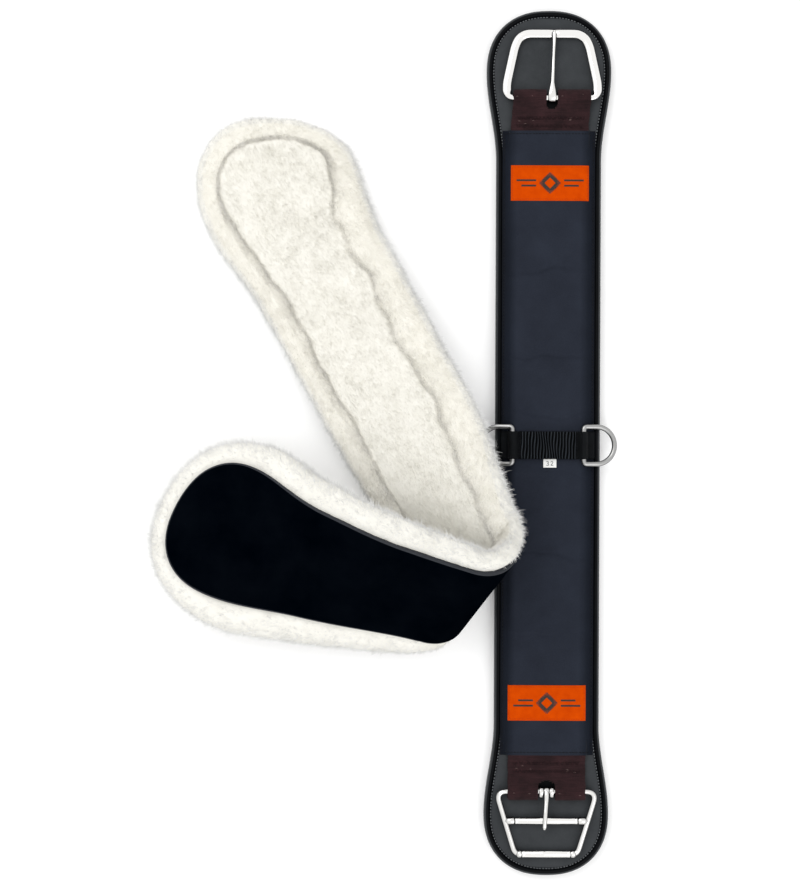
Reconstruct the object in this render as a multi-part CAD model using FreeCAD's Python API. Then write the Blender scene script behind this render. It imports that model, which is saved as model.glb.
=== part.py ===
import FreeCAD, Part
import math
import os

# A western saddle girth, lying flat with its outer side up, and the fleece liner that
# has been peeled off its inner side and lies folded beside it.  Millimetres, +Z up.
# +Y runs along the girth, +X across it.  The origin is the middle of the girth's
# underside, where the hook tape meets the horse's side of the girth.

V = FreeCAD.Vector

# ---- driving dimensions of the padded girth ----
GIRTH_LENGTH = 850.0
MID_HALF_WIDTH = 51.6
HEAD_HALF_WIDTH = 61.3
HEAD_CAP = 61.0            # from the tip to the widest point of the rounded head
HEAD_NECK = 147.5          # from the tip to where the parallel middle starts
HEAD_ROUNDNESS = 2.3       # exponent of the head's superellipse
CAP_SHARE = 0.6            # share of the outline's points that go to the rounded cap

TAPE_THICK = 1.5
BASE_THICK = 2.0
FOAM_THICK = 8.0
COVER_THICK = 1.5
BINDING_WALL = 1.2
BINDING_LIP = 6.0
BINDING_LIP_THICK = 1.0
COVER_TOP = TAPE_THICK + BASE_THICK + FOAM_THICK + COVER_THICK      # 13
MID_END = GIRTH_LENGTH / 2.0 - HEAD_NECK     # where the parallel middle meets a head
TIP = GIRTH_LENGTH / 2.0
WIDE = 80.0                # clear of the girth's sides

# ---- webbing, panel, labels ----
WEB_HALF_WIDTH = 38.0
WEB_THICK = 2.2
WEB_TOP = COVER_TOP + WEB_THICK
PANEL_HALF_WIDTH = 45.4
PANEL_HALF_LENGTH = 306.5
PANEL_THICK = 1.5
PANEL_TOP = WEB_TOP + PANEL_THICK
LABEL_SIZE = (76.6, 34.8, 0.7)
LABEL_Y = 255.0
SIZE_TAG = (12.8, 8.0, 0.4)
SIZE_TAG_X = 2.0
HOOK_TAPE = (72.0, 720.0)
FABRIC_GAP = 0.3           # between the panel's plateau and the webbing inside it
SHOULDER = 2.0             # width of the slope from the plateau down to the side strip
STRAP_REACH = 0.6          # how far the ring strap's underlay passes the panel's edge

# ---- buckles ----
BAR_R = 2.8                # base bars, and the wire of the lower buckle
BAR_CLEAR = 0.3            # between a bar and the webbing folded round it
BAR_Z = WEB_TOP + BAR_CLEAR + BAR_R
TOP_BAR_Y = 338.3
TOP_FOLD_Y = 346.7         # the webbing's folded edge
LOW_BAR_Y = -341.6
LOW_FOLD_Y = -350.2
SLOT_HALF_WIDTHS = (6.0, 8.6)    # slots in the webbing, upper and lower, that let the tongues through
SLOT_DEPTH = 19.5          # from the folded edge back
STITCH_GAP = 26.0          # from the folded edge to where the two layers meet
FAR_BAR_Y = 401.4          # centre of the upper buckle's far bar
TOP_FRAME_SECTION = (3.8, 2.8)
FRAME_ROUND = 2.2          # rounding of the upper frame's edges
ARM_SPLAY = 0.25           # how fast the upper buckle's arms widen at the base bar
TOP_FRAME_HALF = (42.4, 43.6, 43.0, 38.6, 34.8, 31.0, 23.6)   # half-widths from base to far bar
TOP_FRAME_AT = (0.0, 11.0, 19.0, 38.5, 52.7, 60.0)            # and how far past the base bar
NOTCH_X = 2.0              # where the tongue rests on the far bar
NOTCH_DEPTH = 0.9
NOTCH_REACH = 8.0
HUB_R = 4.6
HUB_BORE = 3.0
HUB_HALVES = (4.3, 7.3)    # half-lengths of the upper and lower tongues' eyes
TONGUE_R = 2.3
TONGUE_SWELL = 0.6         # how much thicker a tongue is at its eye
TONGUE_START = 5.8         # from the base bar to where the tongue's shank starts
TONGUE_RISE = (1.7, 2.2)   # height of the upper and lower shanks' roots over the base bar
LOW_TIP_X = -2.2           # the lower tongue's tip leans to the left
LOW_TIP_LIFT = 1.7         # and clears the middle roller
TONGUE_PAST = (3.0, 8.0)   # how far the upper and lower tongues pass the bar they rest on
MID_BAR_Y = -370.5
END_BAR_Y = -403.0
LOW_FRAME_HALF = (41.5, 40.3, 30.6)     # half-widths at base, middle and end bars
LOW_SHOULDERS = ((44.6, 2.0), (45.9, 7.0))  # half-width and distance past the base bar
ROLLER_R = 3.8
ROLLER_BORE = BAR_R + 0.1
MID_ROLLER_HALF = 30.6
END_ROLLER_HALF = 23.6

# ---- side rings ----
RING_WIRE_R = 2.5
RING_BAR_X = 35.0
RING_BAR_HALF = 18.3       # centreline half-height of the D
RING_ARM = 12.9            # straight part of the D's arms
RING_Y = -2.2
RING_CORNER = 3.0
RING_DROOP = 12.0          # degrees the ring hangs below level
STRAP_HALF = 13.5          # the ring strap's half-width
STRAP_THICK = 1.5
STRAP_TOP = PANEL_TOP + STRAP_THICK
RING_Z = STRAP_TOP + BAR_CLEAR + RING_WIRE_R
LOOP_RAMP = 12.0           # from a ring's bar to where its loop starts to rise
LOOP_LAP = 117.0           # degrees the loop follows the bar

# ---- fleece liner: a strip that lies flat, leans, turns back on itself and lies down ----
LINER_LENGTH = 838.0
LINER_TIP = (-281.0, 300.0)
LINER_BACK_THICK = 5.0
FLEECE_THICK = 19.0
FLEECE_OVERHANG = 18.0
FAR_HEADING = (-98.0, -60.5)      # direction at the far tip and along the straight run
FAR_TURN = (-95.0, 105.0)         # where the run takes up its direction
FOLD_AT = 469.0                   # along the strip, where the roll starts
FOLD_TURN = 160.0                 # degrees
FOLD_SKEW = 20.0                  # degrees between the roll's axis and square across
FOLD_RADIUS = 28.0
FAR_LIFT = 18.0                   # height of the low edge where the strip arches
LEAN_MID = 13.0                   # degrees of lean half-way, and at the fold
LEAN_FOLD = 41.0
LEAN_START = (60.0, 330.0)        # where along the strip the first lean comes in,
LEAN_FINISH = (318.0, 443.0)      # where the rest of it does,
LIFT_RANGE = (60.0, 300.0)        # and where the low edge leaves the ground
REST_GAP = 0.3                    # between resting pieces that could touch
NEAR_UNTWIST = 40.0               # degrees the near run untwists,
NEAR_DIP = -5.0                   # dips just past the fold,
NEAR_LEVEL = 10.5                 # levels out
NEAR_SWING = 8.0                  # and swings sideways,
UNTWIST_RANGE = (0.0, 270.0)      # each over a range that starts at the roll's end
DIP_RANGE = (0.0, 60.0)
LEVEL_RANGE = (60.0, 230.0)
SWING_RANGE = (120.0, 240.0)
SKEW_IN = (300.0, 440.0)          # where cross-sections take up the roll's skew
SKEW_OUT = (590.0, 720.0)         # and where they give it back
NEAR_REACH = 400.0
STEP = 2.0


def smooth(start, end, x):
    """0 before start, 1 after end, with a gentle S between."""
    t = min(max((x - start) / (end - start), 0.0), 1.0)
    return t * t * (3.0 - 2.0 * t)


def bell(start, end, x):
    """A hump between start and end whose area is 1."""
    if x < start or x > end:
        return 0.0
    t = (x - start) / (end - start)
    return 6.0 * t * (1.0 - t) / (end - start)


def half_width(d):
    """Half the girth's width at a distance d from its tip."""
    if d <= 0.0:
        return 0.0
    if d < HEAD_CAP:
        rise = 1.0 - (1.0 - d / HEAD_CAP) ** HEAD_ROUNDNESS
        return HEAD_HALF_WIDTH * rise ** (1.0 / HEAD_ROUNDNESS)
    narrowing = (HEAD_HALF_WIDTH - MID_HALF_WIDTH) * smooth(HEAD_CAP, HEAD_NECK, d)
    return HEAD_HALF_WIDTH - narrowing


def head_point(t):
    """A point (x, d) on the right side of a head: t is 0 at the tip, 1 at the neck's end."""
    if t < CAP_SHARE:
        phi = t / CAP_SHARE * math.pi / 2.0
        d = HEAD_CAP * (1.0 - math.cos(phi) ** (2.0 / HEAD_ROUNDNESS))
        x = HEAD_HALF_WIDTH * math.sin(phi) ** (2.0 / HEAD_ROUNDNESS)
        return x, d
    d = HEAD_CAP + (t - CAP_SHARE) / (1.0 - CAP_SHARE) * (HEAD_NECK - HEAD_CAP)
    return half_width(d), d


def head_edge(inset, side):
    """The rounded end at side +1 (top) or -1, moved inwards by inset, as one edge."""
    right = []
    count = 16
    for i in range(1, count + 1):
        t = i / count
        x, d = head_point(t)
        x0, d0 = head_point(max(t - 0.004, 0.0))
        x1, d1 = head_point(min(t + 0.004, 1.0))
        size = math.hypot(x1 - x0, d1 - d0)
        right.append((x - inset * (d1 - d0) / size, d + inset * (x1 - x0) / size))
    right[-1] = (MID_HALF_WIDTH - inset, HEAD_NECK)
    left = [(-x, d) for x, d in reversed(right)]
    run = left + [(0.0, inset)] + right
    points = [V(x, side * (TIP - d), 0) for x, d in run]
    curve = Part.BSplineCurve()
    curve.interpolate(Points=points, InitialTangent=V(0, side, 0), FinalTangent=V(0, -side, 0))
    return curve.toShape()


def girth_prism(inset, z0, z1):
    """The girth's outline, moved inwards by inset, from z0 up to z1."""
    top = head_edge(inset, 1)
    low = head_edge(inset, -1)
    x = MID_HALF_WIDTH - inset
    y = MID_END
    right = Part.makeLine(V(x, y, 0), V(x, -y, 0))
    left = Part.makeLine(V(-x, -y, 0), V(-x, y, 0))
    wire = Part.Wire(Part.sortEdges([top, right, low, left])[0])
    wire.translate(V(0, 0, z0))
    return Part.Face(wire).extrude(V(0, 0, z1 - z0))


def box(x0, x1, y0, y1, z0, z1):
    return Part.makeBox(x1 - x0, y1 - y0, z1 - z0, V(x0, y0, z0))


def cylinder(r, start, end):
    return Part.makeCylinder(r, start.distanceToPoint(end), start, end - start)


def along_y(profile, y0, y1):
    """A closed outline of (x, z) points, drawn along Y from y0 to y1."""
    points = [V(x, y0, z) for x, z in profile]
    return Part.Face(Part.makePolygon(points + points[:1])).extrude(V(0, y1 - y0, 0))


def arc_points(cy, cz, r, start, end, count=10):
    """Points (y, z) on an arc, angles in degrees."""
    run = []
    for i in range(count + 1):
        a = math.radians(start + (end - start) * i / count)
        run.append((cy + r * math.cos(a), cz + r * math.sin(a)))
    return run


# ---- the padded body ----

def hook_tape():
    w, length = HOOK_TAPE
    return box(-w / 2, w / 2, -length / 2, length / 2, 0, TAPE_THICK)


def base_panel():
    return girth_prism(BINDING_WALL, TAPE_THICK, TAPE_THICK + BASE_THICK)


def foam(y0, y1):
    """The foam between two places along the girth."""
    z = TAPE_THICK + BASE_THICK
    whole = girth_prism(BINDING_WALL, z, z + FOAM_THICK)
    return whole.common(box(-WIDE, WIDE, y0, y1, 0, COVER_TOP))


def top_cover():
    return girth_prism(BINDING_WALL, COVER_TOP - COVER_THICK, COVER_TOP)


def binding(x0, x1, y0, y1):
    """The edge binding inside a rectangle: one head's bow, or one straight side."""
    top = COVER_TOP + BINDING_LIP_THICK
    shell = girth_prism(0.0, 0.0, top)
    shell = shell.cut(girth_prism(BINDING_WALL, TAPE_THICK, COVER_TOP))
    shell = shell.cut(girth_prism(BINDING_LIP, -1.0, top + 1.0))
    return shell.common(box(x0, x1, y0, y1, -1.0, top + 1.0))


def centre_panel():
    x = WEB_HALF_WIDTH + FABRIC_GAP
    profile = [(-PANEL_HALF_WIDTH, COVER_TOP), (-x, COVER_TOP), (-x, WEB_TOP), (x, WEB_TOP),
               (x, COVER_TOP), (PANEL_HALF_WIDTH, COVER_TOP),
               (PANEL_HALF_WIDTH, COVER_TOP + PANEL_THICK),
               (x + SHOULDER, COVER_TOP + PANEL_THICK), (x, PANEL_TOP), (-x, PANEL_TOP),
               (-x - SHOULDER, COVER_TOP + PANEL_THICK),
               (-PANEL_HALF_WIDTH, COVER_TOP + PANEL_THICK)]
    return along_y(profile, -PANEL_HALF_LENGTH, PANEL_HALF_LENGTH)


def webbing_end(side, fold_y, bar_y, slot_half):
    """The webbing folded back round a buckle's base bar, with the tongue's slot."""
    inner = BAR_R + BAR_CLEAR
    outer = inner + WEB_THICK
    fold = abs(fold_y)
    bar = abs(bar_y)
    turn = fold - outer
    meet = fold - STITCH_GAP
    tail = PANEL_HALF_LENGTH + 0.1
    outside = [(tail, COVER_TOP)]
    outside += arc_points(turn, BAR_Z, outer, -90, 90)
    outside += [(bar - 2.0, BAR_Z + outer), (meet, WEB_TOP + WEB_THICK), (tail, WEB_TOP + WEB_THICK)]
    inside = [(meet + 1.0, WEB_TOP)]
    inside += arc_points(turn, BAR_Z, inner, -90, 90)
    inside += [(bar - 2.0, BAR_Z + inner)]
    solids = []
    for run in (outside, inside):
        points = [V(-WEB_HALF_WIDTH, side * y, z) for y, z in run]
        face = Part.Face(Part.makePolygon(points + points[:1]))
        solids.append(face.extrude(V(2 * WEB_HALF_WIDTH, 0, 0)))
    loop = solids[0].cut(solids[1])
    y0, y1 = sorted((side * (fold - SLOT_DEPTH), side * (fold + 1.0)))
    slot = box(-slot_half, slot_half, y0, y1, COVER_TOP - 1, BAR_Z + outer + 1)
    return loop.cut(slot)


def load_webbing():
    end = PANEL_HALF_LENGTH + 0.1
    run = box(-WEB_HALF_WIDTH, WEB_HALF_WIDTH, -end, end, COVER_TOP, WEB_TOP)
    top = webbing_end(1, TOP_FOLD_Y, TOP_BAR_Y, SLOT_HALF_WIDTHS[0])
    low = webbing_end(-1, LOW_FOLD_Y, LOW_BAR_Y, SLOT_HALF_WIDTHS[1])
    return run.fuse([top, low]).removeSplitter()


def label_patch(side):
    w, h, t = LABEL_SIZE
    y = side * LABEL_Y
    return box(-w / 2, w / 2, y - h / 2, y + h / 2, PANEL_TOP, PANEL_TOP + t)


def size_tag():
    w, h, t = SIZE_TAG
    y = RING_Y - STRAP_HALF
    x = SIZE_TAG_X
    return box(x - w / 2, x + w / 2, y - h, y, PANEL_TOP, PANEL_TOP + t)


# ---- the strap across the middle, and its rings ----

def ring_strap_base():
    x = WEB_HALF_WIDTH + FABRIC_GAP
    low = COVER_TOP + PANEL_THICK
    high = low + STRAP_THICK
    foot = x + SHOULDER
    edge = PANEL_HALF_WIDTH + STRAP_REACH
    top = x + STRAP_REACH
    profile = [(-edge, low), (-foot, low), (-x, PANEL_TOP), (x, PANEL_TOP), (foot, low),
               (edge, low), (edge, high), (foot + STRAP_REACH, high),
               (top, STRAP_TOP), (-top, STRAP_TOP), (-foot - STRAP_REACH, high),
               (-edge, high)]
    return along_y(profile, RING_Y - STRAP_HALF, RING_Y + STRAP_HALF)


def ring_strap():
    """The upper layer, humped over the straight bars of the two rings."""
    inner = RING_WIRE_R + BAR_CLEAR
    outer = inner + STRAP_THICK
    flat = RING_BAR_X - LOOP_RAMP
    over = arc_points(RING_BAR_X, RING_Z, outer, 0, LOOP_LAP)
    under = arc_points(RING_BAR_X, RING_Z, inner, LOOP_LAP, 0)
    right = [(RING_BAR_X + outer, STRAP_TOP)] + over + [(flat, STRAP_TOP + STRAP_THICK)]
    left = [(-x, z) for x, z in reversed(right)]
    hollow_right = [(flat + 1.0, STRAP_TOP)] + under + [(RING_BAR_X + inner, STRAP_TOP)]
    hollow_left = [(-x, z) for x, z in reversed(hollow_right)]
    profile = right + left + hollow_left + hollow_right
    return along_y(profile, RING_Y - STRAP_HALF, RING_Y + STRAP_HALF)


def d_ring(side):
    """A D-shaped ring of round wire, hanging a little below level from its straight bar."""
    r = RING_CORNER
    h = RING_BAR_HALF
    a = RING_ARM
    s = r * math.sqrt(0.5)
    edges = [Part.makeLine(V(0, -h + r, 0), V(0, h - r, 0)),
             Part.Arc(V(0, h - r, 0), V(r - s, h - r + s, 0), V(r, h, 0)).toShape(),
             Part.makeLine(V(r, h, 0), V(a, h, 0)),
             Part.Arc(V(a, h, 0), V(a + h, 0, 0), V(a, -h, 0)).toShape(),
             Part.makeLine(V(a, -h, 0), V(r, -h, 0)),
             Part.Arc(V(r, -h, 0), V(r - s, -h + r - s, 0), V(0, -h + r, 0)).toShape()]
    path = Part.Wire(edges)
    circle = Part.Wire(Part.makeCircle(RING_WIRE_R, V(0, -h + r, 0), V(0, 1, 0)))
    ring = path.makePipeShell([circle], True, False)
    ring.rotate(V(0, 0, 0), V(0, 1, 0), RING_DROOP)
    if side < 0:
        ring.rotate(V(0, 0, 0), V(0, 0, 1), 180)
    ring.translate(V(side * RING_BAR_X, RING_Y, RING_Z))
    return ring


# ---- the upper buckle ----

def frame_tilt(bar_y, far_y, far_z):
    """Degrees that a frame slopes down from its base bar to its far end."""
    return math.degrees(math.atan2(BAR_Z - far_z, abs(far_y - bar_y)))


def top_tilt():
    return frame_tilt(TOP_BAR_Y, FAR_BAR_Y, COVER_TOP + REST_GAP + TOP_FRAME_SECTION[1])


def top_frame_path():
    """Half the bow of the frame, from the base bar's end to the far bar."""
    along = [TOP_BAR_Y + y for y in TOP_FRAME_AT] + [FAR_BAR_Y]
    return list(zip(TOP_FRAME_HALF, along))


def bow_curve(offset):
    """The right half of the frame's bow, moved outwards by offset, in plan."""
    middle = Part.BSplineCurve()
    points = [V(x, y, 0) for x, y in top_frame_path()]
    middle.interpolate(Points=points, InitialTangent=V(ARM_SPLAY, 1, 0), FinalTangent=V(-1, 0, 0))
    moved = []
    for i in range(13):
        u = middle.FirstParameter + (middle.LastParameter - middle.FirstParameter) * i / 12
        along = middle.tangent(u)[0]
        moved.append(middle.value(u) + V(along.y, -along.x, 0) * offset)
    curve = Part.BSplineCurve()
    curve.interpolate(Points=moved, InitialTangent=middle.tangent(middle.FirstParameter)[0],
                      FinalTangent=V(-1, 0, 0))
    return curve.toShape()


def top_buckle_frame():
    wide, tall = TOP_FRAME_SECTION
    outer = bow_curve(wide)
    inner = bow_curve(-wide)
    mirrored = [edge.mirror(V(0, 0, 0), V(1, 0, 0)) for edge in (outer, inner)]
    far = top_frame_path()[-1][0]
    edges = [outer, inner] + mirrored
    for y in (FAR_BAR_Y + wide, FAR_BAR_Y - wide):
        edges.append(Part.makeLine(V(-far, y, 0), V(far, y, 0)))
    for out, into in ((outer, inner), mirrored):
        edges.append(Part.makeLine(out.Vertexes[0].Point, into.Vertexes[0].Point))
    wire = Part.Wire(Part.sortEdges(edges)[0])
    wire.translate(V(0, 0, BAR_Z - tall))
    bow = Part.Face(wire).extrude(V(0, 0, 2 * tall))
    rims = [e for e in bow.Edges if e.Length > 2 * wide + 1 and e.BoundBox.ZLength < 0.1]
    bow = bow.makeFillet(FRAME_ROUND, rims)
    end = top_frame_path()[0][0]
    bar = cylinder(BAR_R, V(-end, TOP_BAR_Y, BAR_Z), V(end, TOP_BAR_Y, BAR_Z))
    knobs = [Part.makeSphere(wide, V(side * end, TOP_BAR_Y, BAR_Z)) for side in (-1, 1)]
    notch_z = BAR_Z + tall + TONGUE_R - NOTCH_DEPTH
    near = V(NOTCH_X, FAR_BAR_Y - NOTCH_REACH, notch_z)
    notch = cylinder(TONGUE_R + REST_GAP, near, near + V(0, 2 * NOTCH_REACH, 0))
    frame = bow.fuse([bar] + knobs).cut(notch).removeSplitter()
    frame.rotate(V(0, TOP_BAR_Y, BAR_Z), V(1, 0, 0), -top_tilt())
    return frame


def tongue(bar_y, hub_half, start, end):
    """A tongue whose eye turns on a base bar, with a round-ended shank from start to end."""
    near = V(start.x - hub_half, bar_y, BAR_Z)
    far = V(start.x + hub_half, bar_y, BAR_Z)
    eye = cylinder(HUB_R, near, far).cut(cylinder(HUB_BORE, near, far))
    reach = start.distanceToPoint(end)
    wide = TONGUE_R + TONGUE_SWELL
    corner = math.sqrt(0.5)
    root = Part.Arc(V(0, 0, -wide), V(wide * corner, 0, -wide * corner), V(wide, 0, 0)).toShape()
    tip = Part.Arc(V(TONGUE_R, 0, reach), V(TONGUE_R * corner, 0, reach + TONGUE_R * corner),
                   V(0, 0, reach + TONGUE_R)).toShape()
    side = Part.makeLine(V(wide, 0, 0), V(TONGUE_R, 0, reach))
    axis = Part.makeLine(V(0, 0, reach + TONGUE_R), V(0, 0, -wide))
    shank = Part.Face(Part.Wire([root, side, tip, axis])).revolve(V(0, 0, 0), V(0, 0, 1), 360)
    shank.Placement = FreeCAD.Placement(start, FreeCAD.Rotation(V(0, 0, 1), end - start))
    return eye.fuse(shank)


def top_buckle_tongue():
    far_top = COVER_TOP + REST_GAP + 2 * TOP_FRAME_SECTION[1] - NOTCH_DEPTH
    tip = V(NOTCH_X, FAR_BAR_Y + TONGUE_PAST[0], far_top + TONGUE_R + REST_GAP)
    root = V(0, TOP_BAR_Y + TONGUE_START, BAR_Z + TONGUE_RISE[0])
    return tongue(TOP_BAR_Y, HUB_HALVES[0], root, tip)


# ---- the lower buckle ----

def low_tilt():
    return frame_tilt(LOW_BAR_Y, END_BAR_Y, COVER_TOP + REST_GAP + ROLLER_R)


def low_bar_z(y):
    """Height of the lower frame's centreline at y."""
    return BAR_Z - math.tan(math.radians(low_tilt())) * abs(y - LOW_BAR_Y)


def bottom_buckle_frame():
    base, mid, end = LOW_FRAME_HALF
    corners = [V(base, LOW_BAR_Y, BAR_Z)]
    corners += [V(x, LOW_BAR_Y - past, BAR_Z) for x, past in LOW_SHOULDERS]
    corners += [V(mid, MID_BAR_Y, BAR_Z), V(end, END_BAR_Y, BAR_Z)]
    corners += [V(-p.x, p.y, p.z) for p in reversed(corners)]
    bars = []
    for i, corner in enumerate(corners):
        bars.append(cylinder(BAR_R, corner, corners[(i + 1) % len(corners)]))
        bars.append(Part.makeSphere(BAR_R, corner))
    bars.append(cylinder(BAR_R, V(-mid, MID_BAR_Y, BAR_Z), V(mid, MID_BAR_Y, BAR_Z)))
    frame = bars[0].fuse(bars[1:]).removeSplitter()
    frame.rotate(V(0, LOW_BAR_Y, BAR_Z), V(1, 0, 0), low_tilt())
    return frame


def bottom_buckle_tongue():
    over = low_bar_z(MID_BAR_Y) + ROLLER_R + TONGUE_R + LOW_TIP_LIFT
    tip = V(LOW_TIP_X, MID_BAR_Y - TONGUE_PAST[1], over)
    root = V(0, LOW_BAR_Y - TONGUE_START, BAR_Z + TONGUE_RISE[1])
    return tongue(LOW_BAR_Y, HUB_HALVES[1], root, tip)


def roller(y, half):
    centre = V(0, y, low_bar_z(y))
    reach = V(half, 0, 0)
    tube = cylinder(ROLLER_R, centre - reach, centre + reach)
    return tube.cut(cylinder(ROLLER_BORE, centre - reach * 1.1, centre + reach * 1.1))


# ---- the liner ----

def lean(s):
    """How far the far run leans at s, in radians."""
    more = (LEAN_FOLD - LEAN_MID) * smooth(*LEAN_FINISH, s)
    return math.radians(LEAN_MID * smooth(*LEAN_START, s) + more)


def far_centre_line():
    """Plan position and heading of the far run at every STEP."""
    x, y = LINER_TIP
    run = []
    for i in range(int(FOLD_AT / STEP) + 60):
        turned = smooth(*FAR_TURN, i * STEP)
        heading = math.radians(FAR_HEADING[0] + (FAR_HEADING[1] - FAR_HEADING[0]) * turned)
        run.append((x, y, heading))
        x += STEP * math.cos(heading)
        y += STEP * math.sin(heading)
    return run


def far_frame(s):
    """Centre, forward, right-hand and fleece-side directions on the far run."""
    i = s / STEP
    k = min(max(int(i), 0), len(FAR_LINE) - 2)
    x, y, heading = [a + (b - a) * (i - k) for a, b in zip(FAR_LINE[k], FAR_LINE[k + 1])]
    slope = lean(s)
    half = LINER_BACK_THICK / 2
    low_edge = half + REST_GAP + (FAR_LIFT - half) * smooth(*LIFT_RANGE, s)
    forward = V(math.cos(heading), math.sin(heading), 0)
    across = V(-math.sin(heading) * math.cos(slope), math.cos(heading) * math.cos(slope), math.sin(slope))
    centre = V(x, y, low_edge + MID_HALF_WIDTH * math.sin(slope))
    return centre, forward, across, forward.cross(across)


def turned(a, b, angle):
    """a turned towards b, which is square to it, and b turned with it."""
    c = math.cos(angle)
    s = math.sin(angle)
    return a * c + b * s, b * c - a * s


def near_frames():
    """The near run from the fold on: it twists level, sinks and swings a little."""
    centre, forward, across = NEAR_START
    frames = [(centre, forward, across)]
    for i in range(int(NEAR_REACH / STEP)):
        x = (i + 0.5) * STEP
        up = forward.cross(across)
        across = turned(across, up, math.radians(NEAR_UNTWIST * bell(*UNTWIST_RANGE, x)) * STEP)[0]
        up = forward.cross(across)
        dip = NEAR_DIP * bell(*DIP_RANGE, x) + NEAR_LEVEL * bell(*LEVEL_RANGE, x)
        forward = turned(forward, up, math.radians(dip) * STEP)[0]
        swing = math.radians(NEAR_SWING * bell(*SWING_RANGE, x)) * STEP
        forward, across = turned(forward, across, swing)
        centre = centre + forward * STEP
        frames.append((centre, forward, across))
    return frames


def liner_point(s, w):
    """The strip's middle surface: s along it, w across; gives the point and the fleece side."""
    skew = math.radians(FOLD_SKEW)
    turn = math.radians(FOLD_TURN)
    q = (s - FOLD_AT) * math.cos(skew) + w * math.sin(skew)
    if q < 0.0:
        centre, forward, across, up = far_frame(s)
        return centre + across * w, up
    rho = w * math.cos(skew) - (s - FOLD_AT) * math.sin(skew)
    centre, axis, ahead, up = FOLD_FRAME
    if q <= FOLD_RADIUS * turn:
        a = q / FOLD_RADIUS
        lift = ahead * math.sin(a) + up * (1.0 - math.cos(a))
        return centre + axis * rho + lift * FOLD_RADIUS, up * math.cos(a) - ahead * math.sin(a)
    u = s - FOLD_END
    start, forward, across = NEAR_START
    if u > 0.0:
        i = min(u / STEP, len(NEAR_LINE) - 2.0)
        k = int(i)
        start, forward, across = [a + (b - a) * (i - k) for a, b in zip(NEAR_LINE[k], NEAR_LINE[k + 1])]
    else:
        start = start + forward * u
    return start + across * w, forward.cross(across)


def fold_frame():
    """Start of the roll: a point, the roll's axis, the way ahead and the fleece side."""
    centre, forward, across, up = far_frame(FOLD_AT)
    skew = math.radians(FOLD_SKEW)
    axis = across * math.cos(skew) - forward * math.sin(skew)
    ahead = forward * math.cos(skew) + across * math.sin(skew)
    return centre, axis, ahead, up


def near_start():
    """Centre, forward and across directions where the roll ends."""
    centre, axis, ahead, up = FOLD_FRAME
    skew = math.radians(FOLD_SKEW)
    turn = math.radians(FOLD_TURN)
    leaving = ahead * math.cos(turn) + up * math.sin(turn)
    lift = ahead * math.sin(turn) + up * (1.0 - math.cos(turn))
    forward = leaving * math.cos(skew) - axis * math.sin(skew)
    across = axis * math.cos(skew) + leaving * math.sin(skew)
    end = centre + lift * FOLD_RADIUS - axis * ((FOLD_END - FOLD_AT) * math.sin(skew))
    return end, forward, across


FOLD_END = FOLD_AT + FOLD_RADIUS * math.radians(FOLD_TURN) / math.cos(math.radians(FOLD_SKEW))
FAR_LINE = far_centre_line()
FOLD_FRAME = fold_frame()
NEAR_START = near_start()
NEAR_LINE = near_frames()


def liner_section(s, extra, low, high):
    """A layer's outline across the strip at s, reaching past its edge by extra, between two heights."""
    d = min(s, LINER_LENGTH - s)
    half = half_width(max(d, 0.4))
    wide = half + extra * min(1.0, half / 30.0)
    shift = extra * (smooth(LINER_LENGTH - 150.0, LINER_LENGTH, s) - smooth(150.0, 0.0, s))
    skew = math.radians(FOLD_SKEW) * smooth(*SKEW_IN, s) * (1.0 - smooth(*SKEW_OUT, s))
    corners = []
    for w, h in ((-wide, low), (-half, low), (half, low), (wide, low), (wide, high), (-wide, high)):
        point, up = liner_point(s + shift - w * math.tan(skew), w)
        corners.append(point + up * h)
    if not extra:
        del corners[3]
        del corners[0]
    return Part.makePolygon(corners + corners[:1])


def liner_layer(extra, low, high):
    """One layer of the liner, ruled between its cross-sections from tip to tip."""
    head = [0.3, 3.0, 9.0, 20.0, 38.0, 61.0, 90.0, 120.0, 150.0]
    runs = [190.0 + 35.0 * i for i in range(7)]
    roll = [425.0 + 10.0 * i for i in range(15)]
    after = [580.0, 605.0, 635.0, 662.0]
    stations = head + runs + roll + after + [LINER_LENGTH - s for s in reversed(head)]
    sections = [liner_section(s, extra, low, high) for s in stations]
    return Part.makeLoft(sections, True, True)


def liner_backing():
    half = LINER_BACK_THICK / 2
    return liner_layer(0.0, -half, half)


def liner_fleece():
    half = LINER_BACK_THICK / 2
    return liner_layer(FLEECE_OVERHANG, half + 0.2, half + FLEECE_THICK)


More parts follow.
